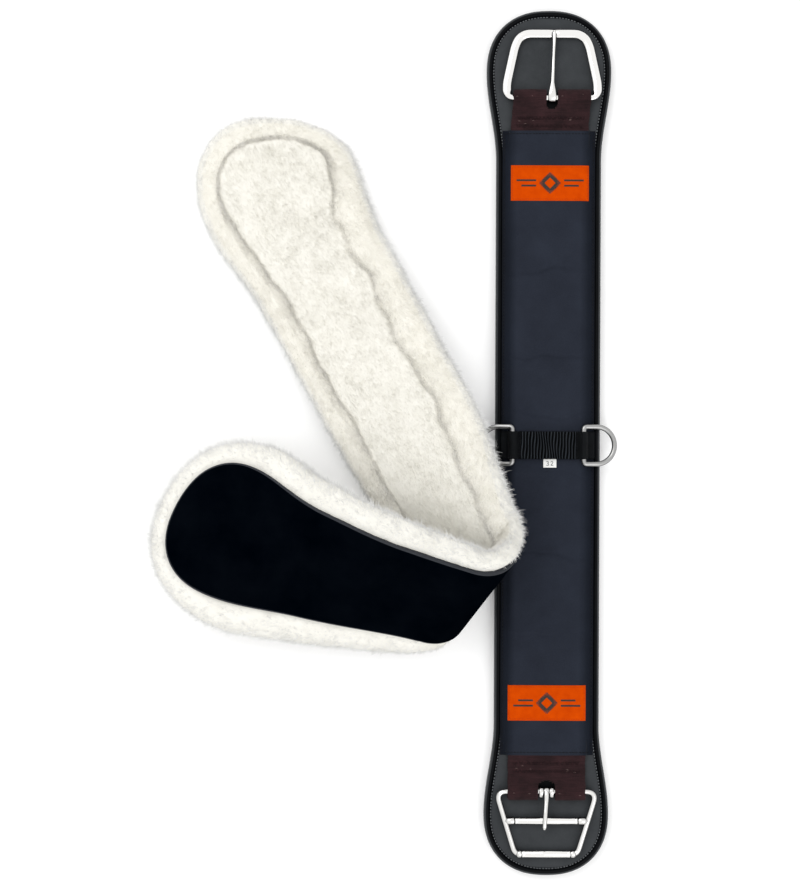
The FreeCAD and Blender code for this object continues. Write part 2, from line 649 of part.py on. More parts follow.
NODES = {
    "hook_tape": hook_tape,
    "base_panel": base_panel,
    "foam_upper": lambda: foam(MID_END, GIRTH_LENGTH),
    "foam_middle": lambda: foam(-MID_END, MID_END),
    "foam_lower": lambda: foam(-GIRTH_LENGTH, -MID_END),
    "top_cover": top_cover,
    "binding_upper": lambda: binding(-WIDE, WIDE, MID_END, GIRTH_LENGTH),
    "binding_right": lambda: binding(0.0, WIDE, -MID_END, MID_END),
    "binding_left": lambda: binding(-WIDE, 0.0, -MID_END, MID_END),
    "binding_lower": lambda: binding(-WIDE, WIDE, -GIRTH_LENGTH, -MID_END),
    "centre_panel": centre_panel,
    "load_webbing": load_webbing,
    "label_patch_upper": lambda: label_patch(1),
    "label_patch_lower": lambda: label_patch(-1),
    "size_tag": size_tag,
    "ring_strap_base": ring_strap_base,
    "ring_strap": ring_strap,
    "left_d_ring": lambda: d_ring(-1),
    "right_d_ring": lambda: d_ring(1),
    "top_buckle_frame": top_buckle_frame,
    "top_buckle_tongue": top_buckle_tongue,
    "bottom_buckle_frame": bottom_buckle_frame,
    "bottom_buckle_tongue": bottom_buckle_tongue,
    "mid_roller": lambda: roller(MID_BAR_Y, MID_ROLLER_HALF),
    "end_roller": lambda: roller(END_BAR_Y, END_ROLLER_HALF),
    "liner_backing": liner_backing,
    "liner_fleece": liner_fleece,
}

os.makedirs("parts", exist_ok=True)
for name, make in NODES.items():
    shape = make()
    if shape.ShapeType != "Solid" and len(shape.Solids) == 1:
        shape = shape.Solids[0]
    bounds = shape.BoundBox
    print(name, "valid", shape.isValid(), "solids", len(shape.Solids), "volume", round(shape.Volume),
          "z", round(bounds.ZMin, 2), round(bounds.ZMax, 2))
    shape.exportStep("parts/" + name + ".step")
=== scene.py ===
import bpy
import math
import numpy as np
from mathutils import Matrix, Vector, noise


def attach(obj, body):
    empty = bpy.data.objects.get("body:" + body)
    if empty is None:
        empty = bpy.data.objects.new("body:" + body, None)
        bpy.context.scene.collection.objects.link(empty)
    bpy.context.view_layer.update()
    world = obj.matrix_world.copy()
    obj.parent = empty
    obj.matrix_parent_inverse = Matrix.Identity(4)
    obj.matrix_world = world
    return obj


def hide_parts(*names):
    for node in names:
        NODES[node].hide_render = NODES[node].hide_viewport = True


# A saddle girth and its fleece liner.  Lengths in this script are millimetres, in the
# frame's axes; build_mesh turns them into metres.

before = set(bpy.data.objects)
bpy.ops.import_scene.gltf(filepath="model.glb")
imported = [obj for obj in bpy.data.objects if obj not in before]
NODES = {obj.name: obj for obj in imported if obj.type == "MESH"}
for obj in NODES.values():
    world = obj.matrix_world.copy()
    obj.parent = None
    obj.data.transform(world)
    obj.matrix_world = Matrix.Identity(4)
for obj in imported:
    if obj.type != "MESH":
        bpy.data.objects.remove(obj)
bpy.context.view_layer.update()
MM = 0.001

# ---- dimensions shared with the CAD ----
GIRTH_LENGTH = 850.0
MID_HALF_WIDTH = 51.6
HEAD_HALF_WIDTH = 61.3
HEAD_CAP = 61.0
HEAD_NECK = 147.5
HEAD_ROUNDNESS = 2.3
COVER_TOP = 13.0
WEB_HALF = 38.0
WEB_TOP = 15.2
PANEL_TOP = 16.7
PANEL_HALF_WIDTH = 45.4
PANEL_HALF_LENGTH = 306.5
BAR_Z = 18.3
TOP_BAR_Y = 338.3          # the base bars that the buckles hinge on
LOW_BAR_Y = -341.6
MID_BAR_Y = -370.5         # the lower frame's roller bars
END_BAR_Y = -403.0
TOP_TILT = 1.98            # degrees each buckle slopes down from its base bar
LOW_TILT = 1.11
RING_Y = -2.2
RING_BAR_X = 35.0
RING_Z = 21.0
STRAP_HALF = 13.5
STRAP_TOP = 18.2
LABEL_Y = 255.0
LABEL_SIZE = (76.6, 34.8)
LABEL_SEAM = 1.7           # from the label's edge

# ---- what only this model shows ----
TOP_SHIFT = 2.7            # how far the upper buckle sits to the right of the girth's middle
HEM_SHIFT = 0.5            # and its webbing, where it comes out of the panel
TIP_ZONE = 45.0            # length over which a grid's rows close up towards a round tip
RIB_RELIEF = 0.00025       # metres, as a bump is given
ONE_BAND_PER_METRE = 6.283 / 20.0

# ---- the liner's strip, laid and folded as in the CAD ----
LINER_LENGTH = 838.0
LINER_TIP = (-281.0, 300.0)
BACK_HALF = 2.5            # half the backing's thickness
FAR_HEADING = (-98.0, -60.5)    # degrees from X at the far tip and on the straight run
FAR_TURN = (-95.0, 105.0)  # lengths along the strip between which the heading changes
FAR_LIFT = 18.0            # how high the far run's low edge has risen at the fold
LEAN_MID = 13.0            # degrees the far run leans by its middle
LEAN_FOLD = 41.0           # and by the fold
FOLD_AT = 469.0
FOLD_TURN = math.radians(160.0)
FOLD_SKEW = math.radians(20.0)
FOLD_RADIUS = 28.0
# turns of the near run: degrees, and the lengths from the fold between which each happens
NEAR_UNTWIST = (40.0, 0.0, 270.0)
NEAR_DIP = (-5.0, 0.0, 60.0)
NEAR_LEVEL = (10.5, 60.0, 230.0)
NEAR_SWING = (8.0, 120.0, 240.0)
NEAR_SPREAD = 0.16         # how much the near head's upper side is pulled wide
STEP = 2.0                 # between the frames that carry the strip
FOLD_END = FOLD_AT + FOLD_RADIUS * FOLD_TURN / math.cos(FOLD_SKEW)


# =====================================================================
# small helpers
# =====================================================================

def smooth(start, end, x):
    """0 before start, 1 after end, with a gentle S between; x may be an array."""
    t = np.clip((x - start) / (end - start), 0.0, 1.0)
    return t * t * (3.0 - 2.0 * t)


def bell(start, end, x):
    """A hump between start and end whose area is 1."""
    if x < start or x > end:
        return 0.0
    t = (x - start) / (end - start)
    return 6.0 * t * (1.0 - t) / (end - start)


def hump(x, centre, width):
    """A round hump, 1 high at its centre."""
    return np.exp(-((x - centre) / width) ** 2)


def unit(v):
    """Vectors made 1 long."""
    return v / np.maximum(np.linalg.norm(v, axis=-1, keepdims=True), 1e-9)


def srgb(r, g, b):
    """An 8-bit display colour as a linear one, with alpha."""
    def linear(c):
        c = c / 255.0
        return c / 12.92 if c <= 0.04045 else ((c + 0.055) / 1.055) ** 2.4
    return (linear(r), linear(g), linear(b), 1.0)


def field(points, scale, seed=0.0):
    """Smooth noise from -1 to 1 at each point; scale is the size of its lumps."""
    shift = Vector((seed * 17.3, seed * 5.1, seed * 9.7))
    return np.array([noise.noise(Vector(p) / scale + shift) for p in points])


def build_mesh(name, verts, faces, materials, face_slots=None, flat=False):
    """An object in the scene from millimetre points."""
    mesh = bpy.data.meshes.new(name)
    mesh.from_pydata((np.asarray(verts) * MM).tolist(), [], [list(map(int, f)) for f in faces])
    for material in materials:
        mesh.materials.append(material)
    if face_slots is not None:
        mesh.polygons.foreach_set("material_index", np.asarray(face_slots, dtype=np.int32))
    if not flat:
        mesh.polygons.foreach_set("use_smooth", np.ones(len(mesh.polygons), dtype=bool))
    mesh.update()
    obj = bpy.data.objects.new(name, mesh)
    bpy.context.scene.collection.objects.link(obj)
    return obj


def distances(points):
    """How far along a polyline each of its points is."""
    return np.concatenate([[0], np.cumsum(np.linalg.norm(np.diff(points, axis=0), axis=1))])


def walk(points, where, s):
    """Points at distances s along a polyline whose own points are at distances where."""
    return np.stack([np.interp(s, where, points[:, k]) for k in range(points.shape[1])], 1)


def blur(run, rounds):
    """An open polyline with its corners worn smooth."""
    for _ in range(rounds):
        run[1:-1] = 0.25 * run[:-2] + 0.5 * run[1:-1] + 0.25 * run[2:]
    return run


def at_height(xy, z):
    """Flat points given one height."""
    return np.column_stack([xy, np.full(len(xy), z)])


def spread(xs, ys):
    """x and y of every point of a grid, row by row."""
    grid_x, grid_y = np.meshgrid(xs, ys)
    return grid_x.ravel(), grid_y.ravel()


def grid_faces(rows, cols, close_rows=False, close_cols=False, flip=False):
    """Quads of a rows by cols grid of vertices numbered row by row."""
    faces = []
    for i in range(rows if close_rows else rows - 1):
        row, after = i * cols, (i + 1) % rows * cols
        for j in range(cols if close_cols else cols - 1):
            right = (j + 1) % cols
            a, b, c, d = row + j, row + right, after + right, after + j
            faces.append((a, d, c, b) if flip else (a, b, c, d))
    return faces


def grid_rim(rows, cols):
    """The outer vertices of a grid, in order round it."""
    return (list(range(cols)) + [i * cols + cols - 1 for i in range(1, rows)]
            + [(rows - 1) * cols + j for j in range(cols - 2, -1, -1)]
            + [i * cols for i in range(rows - 2, 0, -1)])


def slab_faces(rows, cols):
    """Faces of a slab whose top and bottom are two grids, one after the other."""
    count = rows * cols
    faces = grid_faces(rows, cols)
    faces += [tuple(i + count for i in f[::-1]) for f in faces]
    rim = grid_rim(rows, cols)
    return faces + [(a, a + count, b + count, b) for a, b in zip(rim, rim[1:] + rim[:1])]


class Bundle:
    """Collects many small shapes into one mesh."""

    def __init__(self):
        self.verts = []
        self.faces = []
        self.slots = []
        self.count = 0

    def add(self, verts, faces, slot=0):
        self.verts.append(np.asarray(verts))
        self.faces += [tuple(i + self.count for i in f) for f in faces]
        self.slots += [slot] * len(faces)
        self.count += len(verts)

    def build(self, name, materials):
        return build_mesh(name, np.concatenate(self.verts), self.faces, materials, self.slots)


def sweep(path, section, closed=False, scale=None):
    """A tube: section is (side, up) points, carried along path without twisting about it.

    scale holds one factor per path point, or a (side, up) pair of them."""
    path = np.asarray(path, float)
    if closed:
        along = unit(np.roll(path, -1, 0) - np.roll(path, 1, 0))
    else:
        along = unit(np.gradient(path, axis=0))
    side = unit(np.cross(along, (0.0, 0.0, 1.0)))
    lift = np.cross(side, along)
    scale = np.ones(len(path)) if scale is None else np.asarray(scale, float)
    if scale.ndim == 1:
        scale = np.stack([scale, scale], 1)
    verts = (path[:, None] + scale[:, None, :1] * section[None, :, :1] * side[:, None]
             + scale[:, None, 1:] * section[None, :, 1:] * lift[:, None])
    n = len(section)
    faces = grid_faces(len(path), n, close_rows=closed, close_cols=True)
    if not closed:
        faces.append(tuple(range(n)))
        faces.append(tuple(range(len(path) * n - 1, (len(path) - 1) * n - 1, -1)))
    return verts.reshape(-1, 3), faces


def circle_section(r, count, squash=1.0):
    """A round section, or an oval one when squashed."""
    a = np.linspace(0, 2 * math.pi, count, endpoint=False)
    return np.stack([r * np.cos(a), r * squash * np.sin(a)], 1)


def squared_section(count, side_power, up_power=1.0):
    """A round section of radius 1 with its sides pressed towards a square."""
    a = np.linspace(0, 2 * math.pi, count, endpoint=False)
    return np.column_stack([np.sign(wave) * np.abs(wave) ** power
                            for wave, power in ((np.cos(a), side_power), (np.sin(a), up_power))])


def rounded(points, step, rounds):
    """A polyline cut into even steps with its corners worn smooth."""
    points = np.asarray(points, float)
    where = distances(points)
    return blur(walk(points, where, np.linspace(0, where[-1], max(int(where[-1] / step), 4))), rounds)


def thread(path, radius):
    """One stitch: a round thread whose ends dive."""
    swell = np.sin(np.linspace(0.18, math.pi - 0.18, len(path))) ** 0.5
    return sweep(path, circle_section(radius, 6), scale=swell)


def stitch_row(bundle, points, pitch, length, radius, seed):
    """Stitches of one length along a line of points, arched over the surface."""
    rng = np.random.default_rng(seed)
    where = distances(points)
    for i in range(int(where[-1] / pitch)):
        mid = (i + 0.5) * pitch + rng.normal(0, 0.06 * pitch)
        run = walk(points, where, np.clip(mid + np.linspace(-0.5, 0.5, 5) * length, 0, where[-1]))
        run[:, 2] += np.array([-0.45, 0.225, 0.45, 0.225, -0.45]) * radius
        bundle.add(*thread(run, radius))


# =====================================================================
# outlines
# =====================================================================

def half_width(d):
    """Half the strip's width at a distance d from its tip (array)."""
    d = np.asarray(d, float)
    rise = 1.0 - np.clip(1.0 - d / HEAD_CAP, 0.0, 1.0) ** HEAD_ROUNDNESS
    cap = HEAD_HALF_WIDTH * np.clip(rise, 0, 1) ** (1.0 / HEAD_ROUNDNESS)
    neck = HEAD_HALF_WIDTH - (HEAD_HALF_WIDTH - MID_HALF_WIDTH) * smooth(HEAD_CAP, HEAD_NECK, d)
    return np.where(d < HEAD_CAP, cap, neck)


def outline(length, step):
    """Closed strip outline: (across, along) points and outward normals, evenly spaced."""
    phi = np.linspace(0, math.pi / 2, 120)
    power = 2.0 / HEAD_ROUNDNESS
    d_neck = np.linspace(HEAD_CAP, HEAD_NECK, 60)[1:]
    d = np.concatenate([HEAD_CAP * (1.0 - np.cos(phi) ** power), d_neck])
    x = np.concatenate([HEAD_HALF_WIDTH * np.sin(phi) ** power, half_width(d_neck)])
    side = np.concatenate([np.stack([x, length / 2 - d], 1), np.stack([x, d - length / 2], 1)[::-1]])
    loop = np.concatenate([side, (side * [-1, 1])[::-1]])
    loop = loop[np.concatenate([[True], np.linalg.norm(np.diff(loop, axis=0), axis=1) > 1e-6])]
    ring = np.concatenate([loop, loop[:1]])
    where = distances(ring)
    points = walk(ring, where, np.linspace(0, where[-1], int(where[-1] / step), endpoint=False))
    along = unit(np.roll(points, -2, 0) - np.roll(points, 2, 0))
    return points, np.stack([-along[:, 1], along[:, 0]], 1)


def inset_loop(points, normals, inset):
    """The outline moved inwards."""
    return points - normals * inset


def loop_rings(points, normals, profile):
    """Vertices of rings that follow the outline; profile is (inset, height) pairs."""
    return np.concatenate([at_height(inset_loop(points, normals, inset), z) for inset, z in profile])


def inside_grid(points, normals, inset, cols, step):
    """(across, along) points of a grid over the outline moved in by inset, and its rows and columns."""
    loop = inset_loop(points, normals, inset)
    right = loop[loop[:, 0] > 0.05]
    right = right[np.argsort(right[:, 1])]
    low = points[:, 1].min() + inset
    high = points[:, 1].max() - inset
    ease = TIP_ZONE * (1 - np.cos(np.linspace(0, math.pi / 2, 16)))
    along = np.concatenate([low + ease, np.arange(low + TIP_ZONE + step, high - TIP_ZONE, step),
                            (high - ease)[::-1]])
    half = np.interp(along, np.concatenate([[low], right[:, 1], [high]]),
                     np.concatenate([[0.0], right[:, 0], [0.0]]))
    across = half[:, None] * np.linspace(-1, 1, cols)[None, :]
    grid = np.stack([across, np.broadcast_to(along[:, None], across.shape)], 2)
    return grid.reshape(-1, 2), len(along), cols


# =====================================================================
# materials
# =====================================================================

class Shader:
    """A node material with short calls for what the pieces need."""

    def __init__(self, name, color, rough, **sockets):
        self.material = bpy.data.materials.new(name)
        self.material.use_nodes = True
        self.nodes = self.material.node_tree.nodes
        self.links = self.material.node_tree.links
        self.bsdf = self.nodes["Principled BSDF"]
        self.fill(self.bsdf, Base_Color=color, Roughness=rough, **sockets)
        coords = self.nodes.new("ShaderNodeTexCoord")
        self.object_coords = coords.outputs["Object"]
        self.object_normals = coords.outputs["Normal"]
        self.height = None

    def feed(self, socket, value):
        if isinstance(value, (int, float, tuple)):
            socket.default_value = value
        else:
            self.links.new(value, socket)

    def fill(self, node, **inputs):
        """Sets or links a node's inputs; their names have _ for spaces."""
        for key, value in inputs.items():
            self.feed(node.inputs[key.replace("_", " ")], value)

    def texture(self, kind, output, vector=None, **inputs):
        """An output of a new texture on object coordinates, or on another vector."""
        node = self.nodes.new("ShaderNodeTex" + kind)
        self.fill(node, Vector=vector or self.object_coords, **inputs)
        return node.outputs[output]

    def stretched(self, scale):
        """Object coordinates times scale (per metre)."""
        node = self.nodes.new("ShaderNodeMapping")
        self.fill(node, Scale=scale, Vector=self.object_coords)
        return node.outputs["Vector"]

    def part(self, vector, axis):
        """One axis of a vector."""
        node = self.nodes.new("ShaderNodeSeparateXYZ")
        self.fill(node, Vector=vector)
        return node.outputs[axis]

    def noise(self, scale, detail=3.0, rough=0.5, vector=None, distortion=0.0):
        return self.texture("Noise", "Fac", vector, Scale=scale, Detail=detail, Roughness=rough,
                            Distortion=distortion)

    def cells(self, scale, feature="F1"):
        distance = self.texture("Voronoi", "Distance", Scale=scale)
        distance.node.feature = feature
        return distance

    def waves(self, scale, axis, distortion):
        bands = self.texture("Wave", "Fac", Scale=scale, Distortion=distortion, Detail=1.0)
        bands.node.bands_direction = axis
        return bands

    def threads(self, per_metre, axis, distortion):
        """Bands of a known number to the metre."""
        return self.waves(per_metre * ONE_BAND_PER_METRE, axis, distortion)

    def math(self, operation, a, b=0.0):
        node = self.nodes.new("ShaderNodeMath")
        node.operation = operation
        for socket, value in zip(node.inputs, (a, b)):
            self.feed(socket, value)
        return node.outputs["Value"]

    def ramp(self, value, *stops):
        """Colours along a value: (place, colour) stops, in rising order."""
        node = self.nodes.new("ShaderNodeValToRGB")
        elements = node.color_ramp.elements
        elements[0].position = stops[0][0]
        elements[-1].position = stops[-1][0]
        for position, _ in stops[1:-1]:
            elements.new(position)
        for element, (_, color) in zip(elements, stops):
            element.color = color
        self.links.new(value, node.inputs["Fac"])
        return node.outputs["Color"]

    def mix(self, factor, a, b, blend="MIX"):
        node = self.nodes.new("ShaderNodeMix")
        node.data_type = "RGBA"
        node.blend_type = blend
        for index, value in ((0, factor), (6, a), (7, b)):
            self.feed(node.inputs[index], value)
        return node.outputs[2]

    def color(self, output):
        self.links.new(output, self.bsdf.inputs["Base Color"])

    def roughness(self, value, low, high):
        node = self.nodes.new("ShaderNodeMapRange")
        self.fill(node, To_Min=low, To_Max=high, Value=value)
        self.links.new(node.outputs["Result"], self.bsdf.inputs["Roughness"])

    def bump(self, value, distance, strength):
        """Adds relief; distance is its real height in metres."""
        node = self.nodes.new("ShaderNodeBump")
        self.fill(node, Strength=strength, Distance=distance, Height=value)
        if self.height is not None:
            self.links.new(self.height, node.inputs["Normal"])
        self.height = node.outputs["Normal"]
        self.links.new(self.height, self.bsdf.inputs["Normal"])


def leatherette(name, dark, light, rough, grain=900.0, relief=0.00012, gloss=0.5):
    """Grained coated cloth in patches from dark to light."""
    shader = Shader(name, srgb(*dark), rough, Specular_IOR_Level=gloss)
    patches = shader.noise(38.0, 4.0, 0.6)
    shader.color(shader.ramp(patches, (0.3, srgb(*dark)), (0.7, srgb(*light))))
    wrinkles = shader.noise(330.0, 4.0, 0.6, distortion=0.6)
    shader.bump(shader.noise(55.0, 2.0), 0.0006, 0.5)
    shader.bump(wrinkles, relief * 1.4, 0.6)
    shader.bump(shader.cells(grain, "SMOOTH_F1"), relief, 0.7)
    shader.roughness(wrinkles, rough - 0.08, rough + 0.1)
    return shader.material


def panel_material():
    """A plain weave whose two sets of threads cross, with painted shade darkening it towards its side hems,
    where its shoulders slope down.
    """
    dark, light = srgb(28, 32, 42), srgb(38, 43, 54)
    shader = Shader("panel_fabric", dark, 0.85, Sheen_Weight=0.04, Sheen_Roughness=0.5,
                    Specular_IOR_Level=0.12)
    weave = shader.math("MAXIMUM", shader.threads(900.0, "X", 0.4), shader.threads(900.0, "Y", 0.4))
    base = shader.ramp(shader.noise(26.0, 5.0, 0.6), (0.32, dark), (0.7, light))
    fine = shader.ramp(shader.noise(900.0, 2.0), (0.3, dark), (0.75, light))
    # painted shade: the colour darkens with distance from the middle, for the shade on the sloping shoulders
    # by the hems
    side = shader.math("ABSOLUTE", shader.part(shader.object_coords, "X"))
    hem = shader.ramp(shader.math("MULTIPLY", side, 20.0),
                      (0.62, (1, 1, 1, 1)), (0.78, (0.40, 0.46, 0.52, 1)), (0.9, (0.22, 0.25, 0.3, 1)))
    shader.color(shader.mix(1.0, shader.mix(0.35, base, fine), hem, "MULTIPLY"))
    shader.bump(shader.noise(70.0, 3.0), 0.0005, 0.5)
    shader.bump(weave, 0.00012, 0.8)
    return shader.material


def webbing(name, dark, light, ribs_per_metre, axis, sheen):
    """Webbing ribbed along one axis, with streaks along its ribs, and painted highlight on the rib crests
    with painted shade in the grooves.
    """
    dark, light = srgb(*dark), srgb(*light)
    shader = Shader(name, dark, 0.8, Sheen_Weight=sheen, Specular_IOR_Level=0.15)
    ribs = shader.threads(ribs_per_metre, axis, 0.6)
    threads = shader.threads(ribs_per_metre * 0.8, "X" if axis == "Y" else "Y", 1.0)
    stretch = (50.0, 2200.0, 50.0) if axis == "Y" else (1500.0, 60.0, 60.0)
    streaks = shader.noise(1.0, 3.0, 0.6, shader.stretched(stretch))
    tone = shader.math("MULTIPLY", shader.math("ADD", streaks, shader.noise(60.0, 5.0, 0.65)), 0.5)
    base = shader.ramp(tone, (0.38, dark), (0.62, light))
    # painted highlight and shade: the rib wave pulls the crests towards the light tone and leaves the grooves
    # darker
    shader.color(shader.mix(shader.math("MULTIPLY", ribs, 0.3), base, light))
    shader.bump(threads, RIB_RELIEF * 0.35, 0.7)
    shader.bump(ribs, RIB_RELIEF, 0.8)
    return shader.material


def gathered_material():
    """Black gathered elastic, with painted highlight on the crests of its ribs and painted shade in the
    hollows, lighter the higher the surface stands.
    """
    shader = Shader("ring_strap_gathers", srgb(8, 10, 12), 0.8, Specular_IOR_Level=0.08)
    # painted highlight and shade: the colour follows the surface's height above the strap, with a little
    # random fleck
    above = shader.math("SUBTRACT", shader.part(shader.object_coords, "Z"), (STRAP_TOP + 1.2) * MM)
    painted_crest_light = shader.math("MULTIPLY", above, 1.0 / (2.6 * MM))
    fleck = shader.math("MULTIPLY", shader.noise(900.0, 3.0, 0.7), 0.5)
    tone = shader.math("MULTIPLY", painted_crest_light, shader.math("ADD", fleck, 0.75))
    shader.color(shader.ramp(tone, (0.15, srgb(1, 2, 3)), (0.9, srgb(47, 51, 56))))
    shader.bump(shader.noise(1200.0, 3.0), 0.0001, 0.6)
    return shader.material


def polished(name, color, rough, shaded_flank, turn):
    """Plated metal with painted reflection: bright on its level faces, its sloping sides painted down to a
    grey for the darker surroundings they face.

    Its tones are linear. turn holds how level the surface is where it is all painted grey and all bright."""
    shader = Shader(name, (*color, 1.0), rough, Metallic=1.0)
    # painted reflection: the colour falls from bright to the grey as the surface turns from level to upright,
    # with a little random unevenness
    flat = shader.math("ABSOLUTE", shader.part(shader.object_normals, "Z"))
    painted_reflection = shader.math("ADD", flat, shader.math("MULTIPLY", shader.noise(160.0, 4.0, 0.6), 0.12))
    shader.color(shader.ramp(painted_reflection, (turn[0], (shaded_flank, shaded_flank, shaded_flank + 0.005, 1.0)), (turn[1], (*color, 1.0))))
    streaks = shader.noise(90.0, 5.0, 0.7, shader.stretched((1.0, 6.0, 1.0)))
    shader.roughness(streaks, rough - 0.06, rough + 0.06)
    shader.bump(shader.noise(420.0, 3.0), 0.00002, 0.4)
    return shader.material


def thread_material(name, color, rough=0.6):
    """Twisted thread."""
    shader = Shader(name, srgb(*color), rough, Sheen_Weight=0.02, Specular_IOR_Level=0.12)
    shader.bump(shader.waves(160.0, "DIAGONAL", 0.5), 0.0001, 0.6)
    return shader.material


def label_material():
    """Orange satin weave."""
    shader = Shader("label_weave", srgb(206, 66, 2), 0.8, Specular_IOR_Level=0.02)
    shader.color(shader.ramp(shader.noise(120.0, 4.0), (0.25, srgb(192, 62, 0)), (0.75, srgb(208, 73, 1))))
    shader.bump(shader.threads(900.0, "X", 0.3), 0.00008, 0.7)
    shader.bump(shader.threads(1400.0, "Y", 0.3), 0.00012, 0.7)
    return shader.material


def tag_material():
    """White tape."""
    shader = Shader("size_tag", srgb(238, 238, 236), 0.75, Specular_IOR_Level=0.3)
    shader.bump(shader.waves(400.0, "X", 0.3), 0.00006, 0.7)
    return shader.material


def hook_material():
    """Black hook tape, as a field of small hooks."""
    shader = Shader("hook_tape", srgb(18, 18, 20), 0.7, Specular_IOR_Level=0.4)
    rows = shader.cells(700.0)
    shader.color(shader.ramp(rows, (0.1, srgb(40, 40, 43)), (0.6, srgb(10, 10, 12))))
    shader.bump(rows, 0.0006, 0.9)
    return shader.material


def loop_material():
    """Deep black loop pile that drinks light."""
    shader = Shader("liner_loop", srgb(3, 5, 9), 0.98, Specular_IOR_Level=0.0)
    shader.color(shader.ramp(shader.noise(24.0, 4.0, 0.6), (0.3, srgb(0, 2, 6)), (0.75, srgb(5, 8, 13))))
    shader.bump(shader.noise(1500.0, 3.0, 0.7), 0.0004, 0.7)
    return shader.material


def painted_light_edge_material():
    """The liner backing's bevelled side wall, painted grey as painted light from above on the black foam."""
    shader = Shader("liner_edge_painted_light", srgb(48, 50, 55), 0.8, Specular_IOR_Level=0.2)
    shader.bump(shader.noise(700.0, 3.0), 0.0002, 0.7)
    return shader.material


def fleece_material(name, low, high):
    """The pile under the fibres."""
    shader = Shader(name, srgb(*high), 0.95, Specular_IOR_Level=0.05)
    shader.color(shader.ramp(shader.noise(45.0, 5.0, 0.6), (0.3, srgb(*low)), (0.7, srgb(*high))))
    shader.bump(shader.noise(420.0, 4.0, 0.7), 0.0008, 0.6)
    return shader.material


def fur_material(name, low, high, shade):
    """Fibres from low to high in broad patches; shade is what is left of it on single strands."""
    shader = Shader(name, srgb(*high), 0.8, Specular_IOR_Level=0.05)
    base = shader.ramp(shader.noise(60.0, 4.0, 0.6), (0.3, srgb(*low)), (0.7, srgb(*high)))
    strands = shader.ramp(shader.noise(1400.0, 1.0), (0.3, (shade, shade, shade, 1)), (0.62, (1, 1, 1, 1)))
    shader.color(shader.mix(1.0, base, strands, "MULTIPLY"))
    return shader.material


def make_materials():
    """Every material by the short name the pieces use; colours are 8-bit display values."""
    return {
        "cover": leatherette("cover_leatherette", (42, 45, 48), (53, 56, 59), 0.6, gloss=0.22),
        "binding": leatherette("binding_leatherette", (34, 37, 40), (46, 49, 52), 0.38, 700.0, 0.00007, 0.26),
        # near-black painted shade, for the ditch inside the bead and under the webbing slots
        "shaded_wing": leatherette("binding_inner_painted_shade", (2, 3, 5), (7, 9, 12), 0.45, 700.0, 0.00007, 0.07),
        "inner": leatherette("inner_leatherette", (34, 35, 38), (46, 47, 50), 0.6),
        "panel": panel_material(),
        "webbing": webbing("load_webbing", (19, 8, 10), (52, 30, 33), 781.0, "Y", 0.04),
        "strap": webbing("ring_strap", (2, 4, 6), (14, 17, 20), 900.0, "X", 0.0),
        "gathered": gathered_material(),
        # painted reflection: each metal's sides are ramped down to a grey for the darker surroundings they
        # would mirror
        "nickel": polished("buckle_nickel", (0.92, 0.91, 0.89), 0.12, 0.24, (0.35, 0.8)),
        "wire": polished("buckle_wire", (0.84, 0.83, 0.81), 0.14, 0.16, (0.56, 1.0)),
        "ring": polished("ring_nickel", (0.40, 0.40, 0.395), 0.3, 0.16, (0.4, 0.95)),
        "thread_dark": thread_material("thread_dark", (14, 16, 20)),
        "thread_grey": thread_material("thread_grey", (104, 107, 110)),
        "thread_brown": thread_material("thread_brown", (28, 12, 15)),
        "thread_worn": thread_material("thread_worn", (128, 108, 104)),
        "thread_orange": thread_material("thread_orange", (182, 56, 2)),
        "motif": thread_material("label_motif", (62, 58, 54), 0.7),
        "label": label_material(),
        "tag": tag_material(),
        "hook": hook_material(),
        "loop": loop_material(),
        # painted light: grey for the light falling on the black backing's side wall
        "edge": painted_light_edge_material(),
        # lit and shaded copies of one pile: the border's body and fibres are painted brighter than the
        # middle's as painted light on the roll, and the rim fibres are greyer as painted shade under and
        # outside it
        "fleece": fleece_material("fleece", (238, 236, 228), (244, 242, 235)),
        "fleece_middle": fleece_material("fleece_middle", (236, 234, 226), (240, 238, 231)),
        "fur_border": fur_material("fibre_border_painted_light", (249, 247, 240), (254, 252, 247), 0.93),
        "fur_rim": fur_material("fibre_rim_painted_shade", (232, 232, 231), (243, 243, 242), 0.85),
        "fur_middle": fur_material("fibre_middle", (234, 232, 224), (240, 238, 231), 0.86),
    }


MAT = make_materials()


def dress(node, material):
    """Gives a CAD node its material and smooth shading."""
    mesh = NODES[node].data
    mesh.materials.clear()
    mesh.materials.append(MAT[material])
    mesh.polygons.foreach_set("use_smooth", np.ones(len(mesh.polygons), dtype=bool))


def place(obj, body, slot, *replaced):
    """The body and stand-in of one new piece; slot is not used."""
    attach(obj, body)
    if replaced:
        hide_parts(*replaced)


# =====================================================================
# the padded girth
# =====================================================================

OUT_POINTS, OUT_NORMALS = outline(GIRTH_LENGTH, 2.0)


